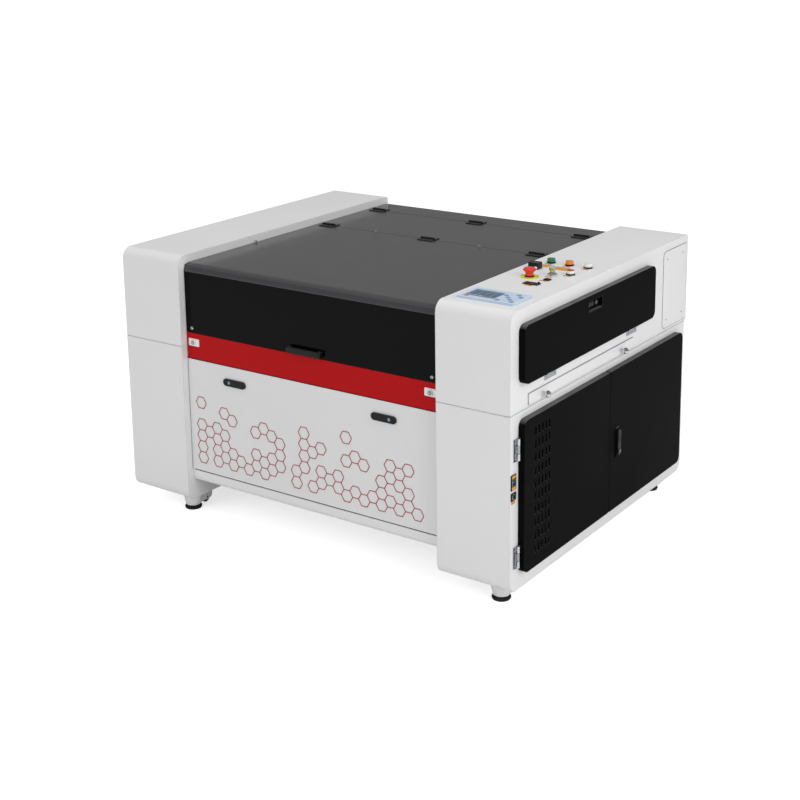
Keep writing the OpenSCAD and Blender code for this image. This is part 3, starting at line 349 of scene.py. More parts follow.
def metal(name, rgb, roughness, stretch=1.0, peel=0.8):
    """Polished metal, or ground or drawn metal where a low stretch draws its grain out.

    Peel is a share of the setting for orange peel.
    """
    finishes = bpy.context.scene.laser_finishes
    tree, shader = base_material(name)
    grain = place_group(tree, "grain", Roughness=roughness, Stretch=stretch)
    edge = place_group(tree, "edge", Radius=finishes.edge_radius * 0.5)
    darker = tuple(0.72 * c for c in rgb)
    feed(tree, shader["Base Color"], blend_colour(tree, grain["Height"], darker, rgb))
    feed(tree, shader["Roughness"], grain["Roughness"])
    feed(tree, shader["Metallic"], 1.0)
    bumped(tree, shader, grain["Height"], edge["Normal"], finishes.peel * peel)


def clear_glass(name):
    tree, shader = base_material(name)
    surface = place_group(tree, "coat", Color=(0.86, 0.93, 0.95, 1), Roughness=0.05,
                          Fine_Scale=60.0)
    for label, value in (("Base Color", surface["Color"]), ("Roughness", 0.04),
                         ("Transmission Weight", 0.85), ("IOR", 1.47)):
        feed(tree, shader[label], value)


def make_materials():
    f = bpy.context.scene.laser_finishes
    GROUPS.update(edge=edge_group(), coat=coat_group(), grain=grain_group(),
                  dust=dust_group())
    coated("cabinet_powder", f.cabinet, 0.36, wear=0.2, bend=3.5)
    coated("panel_powder", f.panel, 0.42, wear=0.2)
    coated("band_powder", f.band, 0.36, wear=0.5, specular=0.1)
    coated("print_ink", f.print_red, 0.45, peel=0.5)
    # The doors, the lid and the black mouldings get a painted highlight on their upward faces,
    # set by the last argument of each line
    coated("door_powder", f.door, 0.46, wear=1, peel=1.5, worn=linear(52, 52, 54),
           specular=0.02, dust=0.4)
    coated("lid_gloss", f.lid, 0.22, wear=1, peel=0.5, specular=0.4, dust=0.06)
    coated("window_acrylic", f.window, 0.05, peel=0.1, fine=30.0, specular=0.1, drift=0.02)
    coated("black_moulding", f.plastic, 0.38, wear=1, peel=2, worn=linear(70, 70, 72),
           fine=1800.0, specular=0.3, dust=0.1)
    coated("dark_moulding", linear(20, 20, 21), 0.5, specular=0.1)
    coated("meter_glass", linear(34, 38, 46), 0.12, peel=0.1)
    coated("white_moulding", linear(232, 232, 230), 0.32, wear=0.4, fine=1800.0)
    coated("grey_moulding", linear(142, 145, 150), 0.45, wear=0.4, peel=2, fine=1800.0)
    coated("frame_paint", f.frame_coat, 0.55, wear=1, peel=2)
    coated("black_rubber", linear(30, 30, 31), 0.72, peel=3, fine=1200.0)
    coated("screen_membrane", f.screen, 0.28, peel=0.5)
    coated("display_glass", linear(84, 104, 126), 0.12, peel=0.1)
    coated("tag_plate", f.tag, 0.36, wear=0.8)
    coated("ring_yellow", f.stop_ring, 0.34)
    coated("stop_plastic", linear(226, 62, 60), 0.30, wear=0.4)
    coated("green_plastic", linear(28, 122, 80), 0.24, coat=0.4)
    coated("orange_plastic", linear(238, 136, 32), 0.24, coat=0.4)
    coated("white_plastic", linear(236, 236, 230), 0.26, coat=0.4)
    coated("red_plastic", linear(176, 62, 48), 0.26, coat=0.4)
    coated("key_blue", linear(72, 112, 132), 0.30)
    coated("key_light", linear(206, 220, 234), 0.30, peel=0.5)
    coated("key_dark", linear(118, 150, 190), 0.30, peel=0.5)
    coated("frame_plastic", linear(214, 226, 238), 0.30, peel=0.5)
    drawn = 0.02        # stretch of the grain along a part's X
    metal("chrome_plate", (0.80, 0.81, 0.83), 0.10, peel=0.1)
    metal("dark_steel", (0.30, 0.30, 0.31), 0.30)
    metal("hinge_plate", (0.52, 0.53, 0.55), 0.16, peel=0.2)
    metal("brass", (0.72, 0.55, 0.28), 0.28)
    metal("ground_steel", (0.62, 0.62, 0.64), 0.30, drawn)
    metal("brushed_aluminium", (0.74, 0.75, 0.77), 0.34, drawn)
    clear_glass("tube_glass")


SLOT_FINISH = {
    "white_powder": "cabinet_powder", "pale_powder": "panel_powder",
    "red_powder": "band_powder", "black_powder": "door_powder", "lid_coat": "lid_gloss",
    "frame_coat": "frame_paint", "smoked_acrylic": "window_acrylic",
    "black_plastic": "black_moulding", "white_plastic": "white_moulding",
    "chrome": "chrome_plate", "steel": "ground_steel", "aluminium": "brushed_aluminium",
    "rubber": "black_rubber", "screen_blue": "screen_membrane",
    "module_grey": "grey_moulding", "stop_red": "stop_plastic",
    "cap_green": "green_plastic", "cap_orange": "orange_plastic",
    "cap_white": "white_plastic", "cap_red": "red_plastic", "tube_glass": "tube_glass",
}
NODE_FINISH = {"red_button": "white_plastic", "side_door_hinges": "hinge_plate",
               "leaf_hinges": "hinge_plate"}
# The material slot that each finish belongs to
FINISH_SLOT = {finish: slot for slot, finish in SLOT_FINISH.items()}
FINISH_SLOT.update(
    dark_steel="steel", brass="steel", key_light="screen_blue", key_dark="screen_blue",
    key_blue="screen_blue", display_glass="screen_blue", frame_plastic="white_plastic",
    tag_plate="cap_orange", ring_yellow="cap_orange", meter_glass="black_plastic",
    dark_moulding="black_plastic", print_ink="red_powder")


def finish_frame():
    """Gives every CAD node its own finish, or that of its material slot."""
    for part in frame["record"]["subparts"]:
        node = frame["nodes"][part["node"]]
        finish = NODE_FINISH.get(part["node"], SLOT_FINISH[part["material_slot"]])
        material = MATERIALS[finish]
        if not node.material_slots:
            node.data.materials.append(material)
        for slot in node.material_slots:
            slot.material = material


# ---------- Boxes and places ----------

def in_mm(box):
    return tuple(corner / MM for corner in box)


def middle(box):
    return (box[0] + box[1]) / 2


def seat(face, x, y, z):
    """A place on a face: its Z points out, its X runs across and its Y up or back."""
    normal, across = (Vector(v) for v in FACES[face])
    turn = Matrix((across, normal.cross(across), normal)).transposed().to_4x4()
    return Matrix.Translation((x, y, z)) @ turn


def side_face(side):
    return "right" if side > 0 else "left"


def outer_x(box, side):
    return box[1].x if side > 0 else box[0].x


def islands(name):
    """Boxes of the separate solids of a CAD node, from left to right and front to rear."""
    data = frame["nodes"][name].data
    keys = [tuple(round(c / MM, 2) for c in vertex.co) for vertex in data.vertices]
    parent = {key: key for key in keys}

    def top_of(key):
        while parent[key] != key:
            parent[key] = parent[parent[key]]
            key = parent[key]
        return key

    for polygon in data.polygons:
        first = top_of(keys[polygon.vertices[0]])
        for i in polygon.vertices[1:]:
            parent[top_of(keys[i])] = first
    groups = {}
    for key in parent:
        groups.setdefault(top_of(key), []).append(key)
    boxes = [(Vector(map(min, zip(*points))), Vector(map(max, zip(*points))))
             for points in groups.values()]
    return sorted(boxes, key=lambda box: tuple(round(v, 1) for v in box[0]))


# ---------- Mesh forms ----------

def round_point(radius, a):
    return radius * math.cos(a), radius * math.sin(a)


def disc(radius, sides=48):
    return [round_point(radius, math.tau * i / sides) for i in range(sides)]


def rounded(width, height, radius, steps=5):
    """Points of a rectangle with round corners: one radius, or four from upper right round."""
    points = []
    radii = radius if isinstance(radius, tuple) else (radius,) * 4
    corners = ((1, 1, 0), (-1, 1, 90), (-1, -1, 180), (1, -1, 270))
    for r, (cx, cy, start) in zip(radii, corners):
        for i in range(steps + 1):
            x, y = round_point(r, math.radians(start + 90 * i / steps))
            points.append((cx * (width / 2 - r) + x, cy * (height / 2 - r) + y))
    return points


def level(mesh, outline, height, place):
    """The vertices of an outline in the place's XY plane, at a height along its Z."""
    return [mesh.verts.new(place @ Vector((x, y, height))) for x, y in outline]


def wall(mesh, low, high):
    """Faces between two closed rings of vertices, where a ring of one is a tip."""
    count = max(len(low), len(high))
    for i in range(count):
        j = (i + 1) % count
        if len(low) == 1:
            mesh.faces.new((low[0], high[j], high[i]))
        elif len(high) == 1:
            mesh.faces.new((low[i], low[j], high[0]))
        else:
            mesh.faces.new((low[i], low[j], high[j], high[i]))


def revolve(mesh, profile, place, sides=32):
    """A turned form: profile holds (radius, height) from the base up, at a place."""
    levels = [level(mesh, disc(radius, sides) if radius else [(0, 0)], height, place)
              for radius, height in profile]
    for low, high in zip(levels, levels[1:]):
        wall(mesh, low, high)
    if len(levels[0]) > 1:
        mesh.faces.new(list(reversed(levels[0])))
    if len(levels[-1]) > 1:
        mesh.faces.new(levels[-1])


def raised(mesh, outline, thickness, place):
    """A flat plate: its outline in the place's XY plane, raised along its Z."""
    low, high = (level(mesh, outline, z, place) for z in (0, thickness))
    mesh.faces.new(list(reversed(low)))
    mesh.faces.new(high)
    wall(mesh, low, high)


def framed(mesh, outer, inner, thickness, place):
    """A flat ring between two outlines with as many points each."""
    levels = [level(mesh, outline, z, place)
              for outline, z in ((outer, 0), (outer, thickness), (inner, thickness),
                                 (inner, 0))]
    for low, high in zip(levels, levels[1:] + levels[:1]):
        wall(mesh, low, high)


def cap_nut(mesh, place, r):
    """A domed nut on its washer."""
    revolve(mesh, [(1.3 * r, 0), (1.3 * r, 0.2 * r), (r, 0.25 * r)], place)
    revolve(mesh, [(r, 0.25 * r), (r, r), (0.8 * r, 1.15 * r)], place, 6)
    dome = [(0.8 * r * math.cos(a), r * (1.1 + 0.75 * math.sin(a)))
            for a in (math.radians(15 * i) for i in range(6))]
    revolve(mesh, dome + [(0, 1.85 * r)], place, 24)


# ---------- Pieces ----------

def link_object(name, data):
    item = bpy.data.objects.new(name, data)
    bpy.context.collection.objects.link(item)
    return item


def finish_piece(name, mesh, body, finish, smooth=True):
    """Turns a bmesh in millimetres into a piece that rides on a body."""
    mesh.transform(Matrix.Scale(MM, 4))
    bmesh.ops.recalc_face_normals(mesh, faces=mesh.faces)
    data = bpy.data.meshes.new(name)
    mesh.to_mesh(data)
    mesh.free()
    data.materials.append(MATERIALS[finish])
    if smooth:
        for polygon in data.polygons:
            polygon.use_smooth = True
        data.set_sharp_from_angle(angle=math.radians(35))
    piece = link_object(name, data)
    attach(piece, body)


def turned(name, body, finish, profile, places, sides=32):
    """One piece with the same turned form at each place."""
    mesh = bmesh.new()
    for place in places:
        revolve(mesh, profile, place, sides)
    finish_piece(name, mesh, body, finish)


def flat(name, body, finish, items, smooth=True):
    """One piece of flat forms; each item is an outline, a thickness and a place."""
    mesh = bmesh.new()
    for outline, thickness, place in items:
        raised(mesh, outline, thickness, place)
    finish_piece(name, mesh, body, finish, smooth=smooth)


def plates(name, body, finish, items):
    """One piece of flat plates; each item is width, height, corner, thickness and place."""
    flat(name, body, finish, [(rounded(width, height, corner), thickness, place)
                              for width, height, corner, thickness, place in items])


def rings(name, body, finish, items):
    """One piece of flat rings; each item is two outlines, a thickness and a place."""
    mesh = bmesh.new()
    for outer, inner, thickness, place in items:
        framed(mesh, outer, inner, thickness, place)
    finish_piece(name, mesh, body, finish)


def screws(name, body, places, r, h, finish="ground_steel"):
    """One piece with a button-head screw with a sunk socket at each place."""
    turned(name, body, finish,
           [(r, 0), (r, h * 0.25), (r * 0.86, h * 0.7), (r * 0.6, h), (r * 0.45, h),
            (r * 0.42, h * 0.45), (0, h * 0.4)], places, 24)


# ---------- Operators ----------

class LASER_OT_finishes(bpy.types.Operator):
    """Builds the finishes and puts them on every part of the frame"""
    bl_idname = "laser.finishes"
    bl_label = "Finishes"

    def execute(self, context):
        make_materials()
        finish_frame()
        return {"FINISHED"}


def cell_drawn(column, row, rise, density):
    """Whether a cell of the print is drawn: a fixed scatter that thins towards the top."""
    scatter = math.sin(column * 12.9898 + row * 78.233) * 43758.5453
    return scatter - math.floor(scatter) < density * (1 - rise) ** 1.5


class LASER_OT_panel_print(bpy.types.Operator):
    """Prints outlined hexagons on the front panel, denser towards its foot"""
    bl_idname = "laser.panel_print"
    bl_label = "Panel print"

    def execute(self, context):
        size = Millimetres(context.scene.laser_print)
        low, high = in_mm(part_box("front_panel"))
        left, right = low.x + size.margin, high.x - size.margin
        foot, top = low.z + size.margin, high.z - size.margin * 3
        pitch_x, pitch_z = 1.5 * size.cell, math.sqrt(3) * size.cell
        edges = {}
        for column in range(int((right - left) / pitch_x)):
            for row in range(int((top - foot) / pitch_z)):
                cx = left + size.cell + column * pitch_x
                cz = foot + pitch_z * (row + 0.5 + 0.5 * (column % 2))
                if cx + size.cell > right or cz + pitch_z / 2 > top:
                    continue
                rise = (cz - foot) / (top - foot)
                if not cell_drawn(column, row, rise, context.scene.laser_print.density):
                    continue
                corners = [Vector((cx + x, cz + z)) for x, z in disc(size.cell, 6)]
                for a, b in zip(corners, corners[1:] + corners[:1]):
                    key = tuple(sorted((round(p.x), round(p.y)) for p in (a, b)))
                    edges.setdefault(key, (a, b))
        if not edges:
            raise RuntimeError("the panel is too small for its print")
        flat("panel_print", "front_panel", "print_ink",
             [self.line(a, b, size, low.y) for a, b in edges.values()], smooth=False)
        return {"FINISHED"}

    @staticmethod
    def line(a, b, size, face_y):
        """Outline, thickness and place of one printed line."""
        along, centre = b - a, (a + b) / 2
        half, w = along.length / 2, size.line / 2
        place = (seat("front", centre.x, face_y, centre.y)
                 @ Matrix.Rotation(math.atan2(along.y, along.x), 4, "Z"))
        return [(-half, -w), (half, -w), (half, w), (-half, w)], size.proud, place


class LASER_OT_lid_hardware(bpy.types.Operator):
    """Bolts the window, screws the hinges down and sets the bright pegs on the lid"""
    bl_idname = "laser.lid_hardware"
    bl_label = "Lid hardware"

    knuckle = 4     # radius of a hinge's knuckles
    leaf = 3        # thickness of a hinge's leaves

    def execute(self, context):
        size = Millimetres(context.scene.laser_hardware)
        low, high = in_mm(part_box("lid_window"))
        bolt_in, bolt_up = 27, 16
        screws("window_bolts", "front_lid",
               [seat("front", s * (high.x - bolt_in), low.y, low.z + bolt_up) for s in BOTH],
               size.bolt, 5, "chrome_plate")
        low, high = in_mm(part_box("front_lid"))
        front, mid, rear = (islands(lid + "_lid_hinges") for lid in ("front", "mid", "rear"))
        xs = [middle(box).x for box in front]
        from_rear, from_left = 11, 9
        pegs = [seat("top", (a + b) / 2, high.y - from_rear, high.z)
                for a, b in zip(xs, xs[1:])]
        pegs.append(seat("top", low.x + from_left, middle((low, high)).y, high.z))
        mesh = bmesh.new()
        for place in pegs:
            cap_nut(mesh, place, size.peg)
        finish_piece("lid_pegs", mesh, "front_lid", "chrome_plate")
        pins = front[0][1].y - self.knuckle, rear[0][0].y + self.knuckle
        for name, body, boxes in (("front_leaf_screws", "front_lid", front),
                                  ("mid_leaf_screws", "mid_lid", mid),
                                  ("rear_leaf_screws", "root", rear)):
            places = [place for box in boxes for place in self.leaf_places(box, pins)]
            screws(name, body, places, size.screw, 1.2, "black_moulding")
        cap = [(2.4, 0), (3.2, 0.4), (3.2, 1.4), (2.2, 2.2), (0, 2.4)]
        for name, body, boxes, y in (("front_pin_caps", "mid_lid", front, pins[0]),
                                     ("rear_pin_caps", "root", rear, pins[1])):
            turned(name, body, "chrome_plate", cap,
                   [seat("right", box[1].x, y, box[1].z - self.knuckle) for box in boxes],
                   24)
        return {"FINISHED"}

    def leaf_places(self, box, pins):
        """Two places on a hinge's leaf, near its edge away from the nearer pin."""
        low, high = box
        c = middle(box)
        pin = min(pins, key=lambda y: abs(y - c.y))
        from_edge, sideways = 11, 21
        y = low.y + from_edge if c.y < pin else high.y - from_edge
        return [seat("top", c.x + s * sideways, y, low.z + self.leaf) for s in BOTH]


class LASER_OT_front_hardware(bpy.types.Operator):
    """Faces the two catches and sets the keyholes of the latches"""
    bl_idname = "laser.front_hardware"
    bl_label = "Front hardware"

    def execute(self, context):
        catches = [(middle(box), box[0].y) for box in islands("flap_catches")]
        cap = 0.9
        turned("catch_faces", "slot_flap", "grey_moulding",
               [(7, 0), (7, 0.5), (6.2, cap), (0, cap)],
               [seat("front", c.x, face, c.z) for c, face in catches])
        plates("catch_bars", "slot_flap", "white_moulding",
               [(10, 1.6, 0.7, 0.5, seat("front", c.x, face - cap, c.z))
                for c, face in catches])
        lock_out, lock_up, well = 22, 12.5, 0.2
        for name, side in (("left_latch", -1), ("right_latch", 1)):
            low, high = in_mm(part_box(name))
            x, z = middle((low, high)).x + side * lock_out, low.z + lock_up
            turned(name + "_rim", name, "key_blue",
                   [(6.6, 0), (6.6, 0.8), (5.2, 1.2), (4.6, 0.7), (4.6, well), (0, well)],
                   [seat("front", x, low.y, z)])
            plates(name + "_key", name, "chrome_plate",
                   [(2.4, 8, 1, 0.7, seat("front", x, low.y - well, z))])
        return {"FINISHED"}


class LASER_OT_screen(bpy.types.Operator):
    """Fits the control screen's frame, display, graph lines and keys"""
    bl_idname = "laser.screen"
    bl_label = "Control screen"

    def execute(self, context):
        low, high = in_mm(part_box("control_screen"))
        width, depth = high.x - low.x, high.y - low.y
        c = middle((low, high))
        rim, sunk, thin = 14, 1.5, 0.8

        def at(x, y, z=high.z):
            return seat("top", low.x + x, low.y + y, z)

        rings("screen_frame", "root", "frame_plastic",
              [(rounded(width, depth, 6), rounded(width - rim, depth - rim, 3), 0.6,
                seat("top", c.x, c.y, high.z))])
        plates("screen_display", "root", "display_glass",
               [(100, 70, 1, thin, at(65, 60, high.z - sunk))])
        face = high.z - sunk + thin
        marks = [(92, 0.5, 0.1, 0.15, at(65, y, face)) for y in (90, 84, 38, 32)]
        marks += [(0.5, 46, 0.1, 0.15, at(x, 61, face)) for x in (24, 47, 70, 93)]
        marks += [(14, 3, 0.4, 0.15, at(x, 35, face)) for x in (26, 44, 62)]
        plates("screen_marks", "root", "key_light", marks)
        light, dark = [], []
        for column in range(4):
            for row in range(5):
                key = (13, 13, 2, thin, at(130 + column * 16.5, 20 + row * 18.5))
                (dark if (column + row) % 3 == 0 else light).append(key)
        light += [(14, 8, 1.5, thin, at(42 + i * 17, 15.5)) for i in range(5)]
        plates("screen_keys", "root", "key_light", light)
        plates("screen_arrow_keys", "root", "key_dark", dark)
        plates("screen_red_key", "root", "stop_plastic", [(14, 8, 1.5, thin, at(25, 15.5))])
        return {"FINISHED"}


def panel_top():
    return in_mm(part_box("right_upper_cabinet"))[1].z


class LASER_OT_stop_and_key(bpy.types.Operator):
    """Lays the disc under the emergency stop and trims the key switch"""
    bl_idname = "laser.stop_and_key"
    bl_label = "Stop and key"

    def execute(self, context):
        self.stop(Millimetres(context.scene.laser_hardware).disc_radius)
        self.key()
        return {"FINISHED"}

    @staticmethod
    def stop(disc_radius):
        box = in_mm(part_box("stop_button"))
        c, top, thick = middle(box), panel_top(), 1.2
        rings("stop_disc", "root", "ring_yellow",
              [(disc(disc_radius), disc(15.4), thick, seat("top", c.x, c.y, top))])
        arcs = []
        for start in (15, 135, 255):
            turn = [math.radians(start + 6 * i) for i in range(12)]
            outline = [round_point(26.5, a) for a in turn]
            outline += [round_point(25, a) for a in reversed(turn)]
            arcs.append((outline, 0.15, seat("top", c.x, c.y, top + thick)))
        flat("stop_disc_arcs", "root", "black_moulding", arcs)
        turned("stop_crown", "stop_button", "stop_plastic",
               [(16.5, 0), (15.5, 0.9), (10, 1.7), (0, 2)],
               [seat("top", c.x, c.y, box[1].z)], 48)
        ribs, head_r, down = 30, 19.6, 6
        flat("stop_grip", "stop_button", "stop_plastic",
             [(rounded(1.8, 3.4, 0.8, 3), 1,
               Matrix.Translation((c.x, c.y, 0)) @ Matrix.Rotation(math.tau * i / ribs, 4, "Z")
               @ seat("right", head_r, 0, box[1].z - down)) for i in range(ribs)])

    @staticmethod
    def key():
        box = in_mm(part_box("key_switch"))
        c, top = middle(box), panel_top()
        rings("key_collar", "root", "chrome_plate",
              [(disc(outer), disc(inner), rise, seat("top", c.x, c.y, top + z))
               for outer, inner, z, rise in ((15.3, 14.85, 0, 5.6), (14.8, 9.3, 5, 1.2),
                                             (12, 9.3, 6.2, 1))])
        thick, down = 3.6, 8
        rings("key_bow", "key_switch", "chrome_plate",
              [(rounded(22, 17, 7), rounded(12, 6, 2.5), thick,
                seat("front", c.x, c.y + thick / 2, box[1].z - down))])


class LASER_OT_buttons(bpy.types.Operator):
    """Crowns the push buttons; the red one's cap is white under its red crown"""
    bl_idname = "laser.buttons"
    bl_label = "Buttons"

    def execute(self, context):
        for name in ("green", "orange", "white", "red"):
            box = in_mm(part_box(name + "_button"))
            c, r = middle(box), (box[1].x - box[0].x) / 2
            turned(name + "_crown", name + "_button", name + "_plastic",
                   [(r * 0.97, 0), (r * 0.93, 0.7), (r * 0.6, 1.3), (0, 1.5)],
                   [seat("top", c.x, c.y, box[1].z)], 40)
        return {"FINISHED"}


def fittings():
    """Boxes of meter, jack and socket plate, told apart by their heights."""
    by_height = {round(box[1].z - panel_top()): box for box in islands("panel_fittings")}
    return [by_height[height] for height in (20, 4, 3)]


class LASER_OT_instruments(bpy.types.Operator):
    """Glazes the meter and fits the sockets' frames, knob and rings"""
    bl_idname = "laser.instruments"
    bl_label = "Instruments"

    def execute(self, context):
        meter, jack, socket = fittings()
        low, high = meter
        c, width, depth = middle(meter), high.x - low.x, high.y - low.y
        face = seat("top", c.x, c.y, high.z)
        rings("meter_frame", "root", "black_moulding",
              [(rounded(width, depth, 1.5), rounded(width - 7, depth - 7, 1), 1, face)])
        plates("meter_window", "root", "meter_glass", [(width - 7.4, depth - 7.4, 1, 0.4, face)])
        plates("meter_plate", "root", "white_moulding",
               [(11, 7, 0.6, 0.4, seat("front", high.x - 8, low.y, low.z + 6))])
        c, high = middle(socket), socket[1]
        rings("socket_frames", "root", "ground_steel",
              [(rounded(16.5, 12.5, 1), rounded(14, 10, 1), 0.6,
                seat("top", c.x + s * 12, c.y, high.z)) for s in BOTH])
        turned("socket_knob", "root", "black_moulding", [(3.4, 0), (3.4, 4), (2.6, 5), (0, 5)],
               [seat("top", high.x - 4.2, c.y + 6, high.z)], 24)
        c = middle(jack)
        turned("jack_ring", "root", "black_moulding",
               [(7, 0), (7, 1), (5.6, 1.6), (4, 1.6), (3.6, 0.4), (0, 0.4)],
               [seat("top", c.x, c.y, jack[1].z)])
        return {"FINISHED"}


class LASER_OT_tags(bpy.types.Operator):
    """Lays the bare tags in front of the controls"""
    bl_idname = "laser.tags"
    bl_label = "Tags"

    def execute(self, context):
        narrow = Millimetres(context.scene.laser_hardware).tag_depth
        top, thick = panel_top(), 0.5
        spots = []
        for name, forward, width, depth in (
                ("green_button", 22, 26, 8), ("green_button", 47, 36, 28),
                ("orange_button", 22, 26, 8), ("orange_button", 54, 50, 38),
                ("white_button", 22, 26, 8), ("red_button", 22, 28, 9),
                ("key_switch", 25, 24, 8)):
            c = middle(in_mm(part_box(name)))
            spots.append((c.x, c.y - forward, width, depth))
        _, jack, socket = fittings()
        spots.append((middle(jack).x - 6, jack[0].y - 6, 26, narrow))
        spots.append((middle(socket).x - 2, socket[0].y - 6.5, 26, narrow))
        plates("control_tags", "root", "tag_plate",
               [(w, d, 1.2, thick, seat("top", x, y, top)) for x, y, w, d in spots])
        rings("tag_borders", "root", "black_moulding",
              [(rounded(w - 1.2, d - 1.2, 0.9), rounded(w - 2.2, d - 2.2, 0.7), 0.1,
                seat("top", x, y, top + thick)) for x, y, w, d in spots])
        return {"FINISHED"}


class LASER_OT_door_hinges(bpy.types.Operator):
    """Wraps the doors' knuckles in bright plate and screws the fixed leaves down"""
    bl_idname = "laser.door_hinges"
    bl_label = "Door hinges"

    barrel, pin_out = 5, 6      # radius of a knuckle, and from the wall to the pin
    plate_in, leaf = 8, 2.5     # from a fixed leaf's edge to its screws, and its thickness
    knuckle, screw = 24, 25     # from a hinge's middle, along its pin

    def execute(self, context):
        strip = Millimetres(context.scene.laser_hardware).wrap
        up, rearward = Vector((0, 0, 1)), Vector((0, 1, 0))
        spots = []
        for side, body in ((-1, "left_side_door"), (1, "right_side_door")):
            mesh = bmesh.new()
            for box in islands("side_door_hinges"):
                c = middle(box)
                if c.x * side < 0:
                    continue
                x = outer_x(box, -side)
                for s in BOTH:
                    at = Vector((x + side * self.pin_out, c.y + s * self.knuckle,
                                 box[1].z - self.barrel))
                    self.wrap(mesh, strip, at, rearward, up, Vector((side, 0, 0)))
                    spots.append(seat(side_face(side), x + side * self.leaf,
                                      c.y + s * self.screw, box[0].z + self.plate_in))
            finish_piece(body + "_wraps", mesh, body, "chrome_plate")
        meshes = {"front_leaf": bmesh.new(), "rear_leaf": bmesh.new()}
        for box in islands("leaf_hinges"):
            c = middle(box)
            body, toward = ("front_leaf", 1) if c.y < 0 else ("rear_leaf", -1)
            far, near = (box[1].y, box[0].y) if toward > 0 else (box[0].y, box[1].y)
            for s in BOTH:
                at = Vector((box[0].x + self.pin_out, far - toward * self.barrel,
                             c.z + s * self.knuckle))
                self.wrap(meshes[body], strip, at, up, toward * rearward, Vector((1, 0, 0)))
                spots.append(seat("right", box[0].x + self.leaf, near + toward * self.plate_in,
                                  c.z + s * self.screw))
        for body, mesh in meshes.items():
            finish_piece(body + "_wraps", mesh, body, "chrome_plate")
        screws("hinge_screws", "root", spots, 2.8, 1.3, "chrome_plate")
        return {"FINISHED"}

    def wrap(self, mesh, strip, at, along, inward, outward):
        """A bent strip over one knuckle: round the pin on the outside, then to the door."""
        r, half, gap, steps = self.barrel, 10.5, 0.05, 12
        path = [(0.6, -r)]
        for i in range(1, steps + 1):
            x, y = round_point(r, math.radians(-90 + 180 * i / steps))
            path.append((-x, y))
        path.append((7, 3.1))

        def corner(u, v, grow, end):
            scale = 1 + grow / max(math.hypot(u, v), r)
            lift = grow if u > r else 0
            return mesh.verts.new(at + along * (end * half) + inward * (u * scale)
                                  + outward * (v * scale + lift))

        inner, outer = ([[corner(u, v, grow, end) for end in BOTH] for u, v in path]
                        for grow in (gap, strip))
        for i in range(len(path) - 1):
            mesh.faces.new((outer[i][0], outer[i][1], outer[i + 1][1], outer[i + 1][0]))
            mesh.faces.new((inner[i][1], inner[i][0], inner[i + 1][0], inner[i + 1][1]))
            for end in (0, 1):
                mesh.faces.new((inner[i][end], outer[i][end], outer[i + 1][end],
                                inner[i + 1][end]))
        for i in (0, len(path) - 1):
            mesh.faces.new((inner[i][0], inner[i][1], outer[i][1], outer[i][0]))


class LASER_OT_side_doors(bpy.types.Operator):
    """Lines the recessed pulls of the upper side doors"""
    bl_idname = "laser.side_doors"
    bl_label = "Side doors"

    def execute(self, context):
        down, toward_front, recess = 35, 26, 12
        for side, body in ((-1, "left_side_door"), (1, "right_side_door")):
            box = in_mm(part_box(body))
            face, z = outer_x(box, side), box[1].z - down
            floor = face - side * recess
            hinges = [c.y for c in map(middle, islands("side_door_hinges")) if c.x * side > 0]
            y = sum(hinges) / len(hinges) - toward_front
            rings(body + "_pull_rim", body, "dark_moulding",
                  [(rounded(95, 39, 6), rounded(90, 34, 4), 0.8,
                    seat(side_face(side), face, y, z))])
            mesh = bmesh.new()
            revolve(mesh, [(7.5, 0), (7.5, 2.6), (6.2, 3.4), (5, 3.4), (4.6, 2.4), (0, 2.4)],
                    seat(side_face(side), floor, y + side * 24, z))
            for along in (22, 10, -2):
                raised(mesh, rounded(3, 14, 1.4), 1.6,
                       seat(side_face(side), floor, y - side * along, z))
            finish_piece(body + "_pull_lock", mesh, body, "dark_steel")
        return {"FINISHED"}


class LASER_OT_lower_doors(bpy.types.Operator):
    """Fits the swing handle's lock and grip, and seals the doors' meeting edges"""
    bl_idname = "laser.lower_doors"
    bl_label = "Lower doors"

    def execute(self, context):
        low, high = in_mm(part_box("swing_lever"))
        c, lock_down = middle((low, high)), 30
        turned("lever_lock", "swing_lever", "dark_steel",
               [(6.4, 0), (6.4, 0.6), (5, 1.2), (2, 1.2), (1.6, 0.4), (0, 0.4)],
               [seat("right", high.x, c.y, c.z - lock_down)])
        plates("lever_grip", "swing_lever", "black_moulding",
               [(12, 2, 0.9, 0.8, seat("right", high.x - 1.5, c.y, c.z + 4 + 5 * i))
                for i in range(6)])
        rear = in_mm(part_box("rear_leaf"))
        seal_out, seal_in, shorter = 18, 2.4, 40
        x = in_mm(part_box("front_leaf"))[0].x + seal_out
        plates("door_seal", "rear_leaf", "black_rubber",
               [(1.6, rear[1].z - rear[0].z - shorter, 0.6, 1.2,
                 seat("right", x, rear[0].y + seal_in, middle(rear).z))])
        return {"FINISHED"}


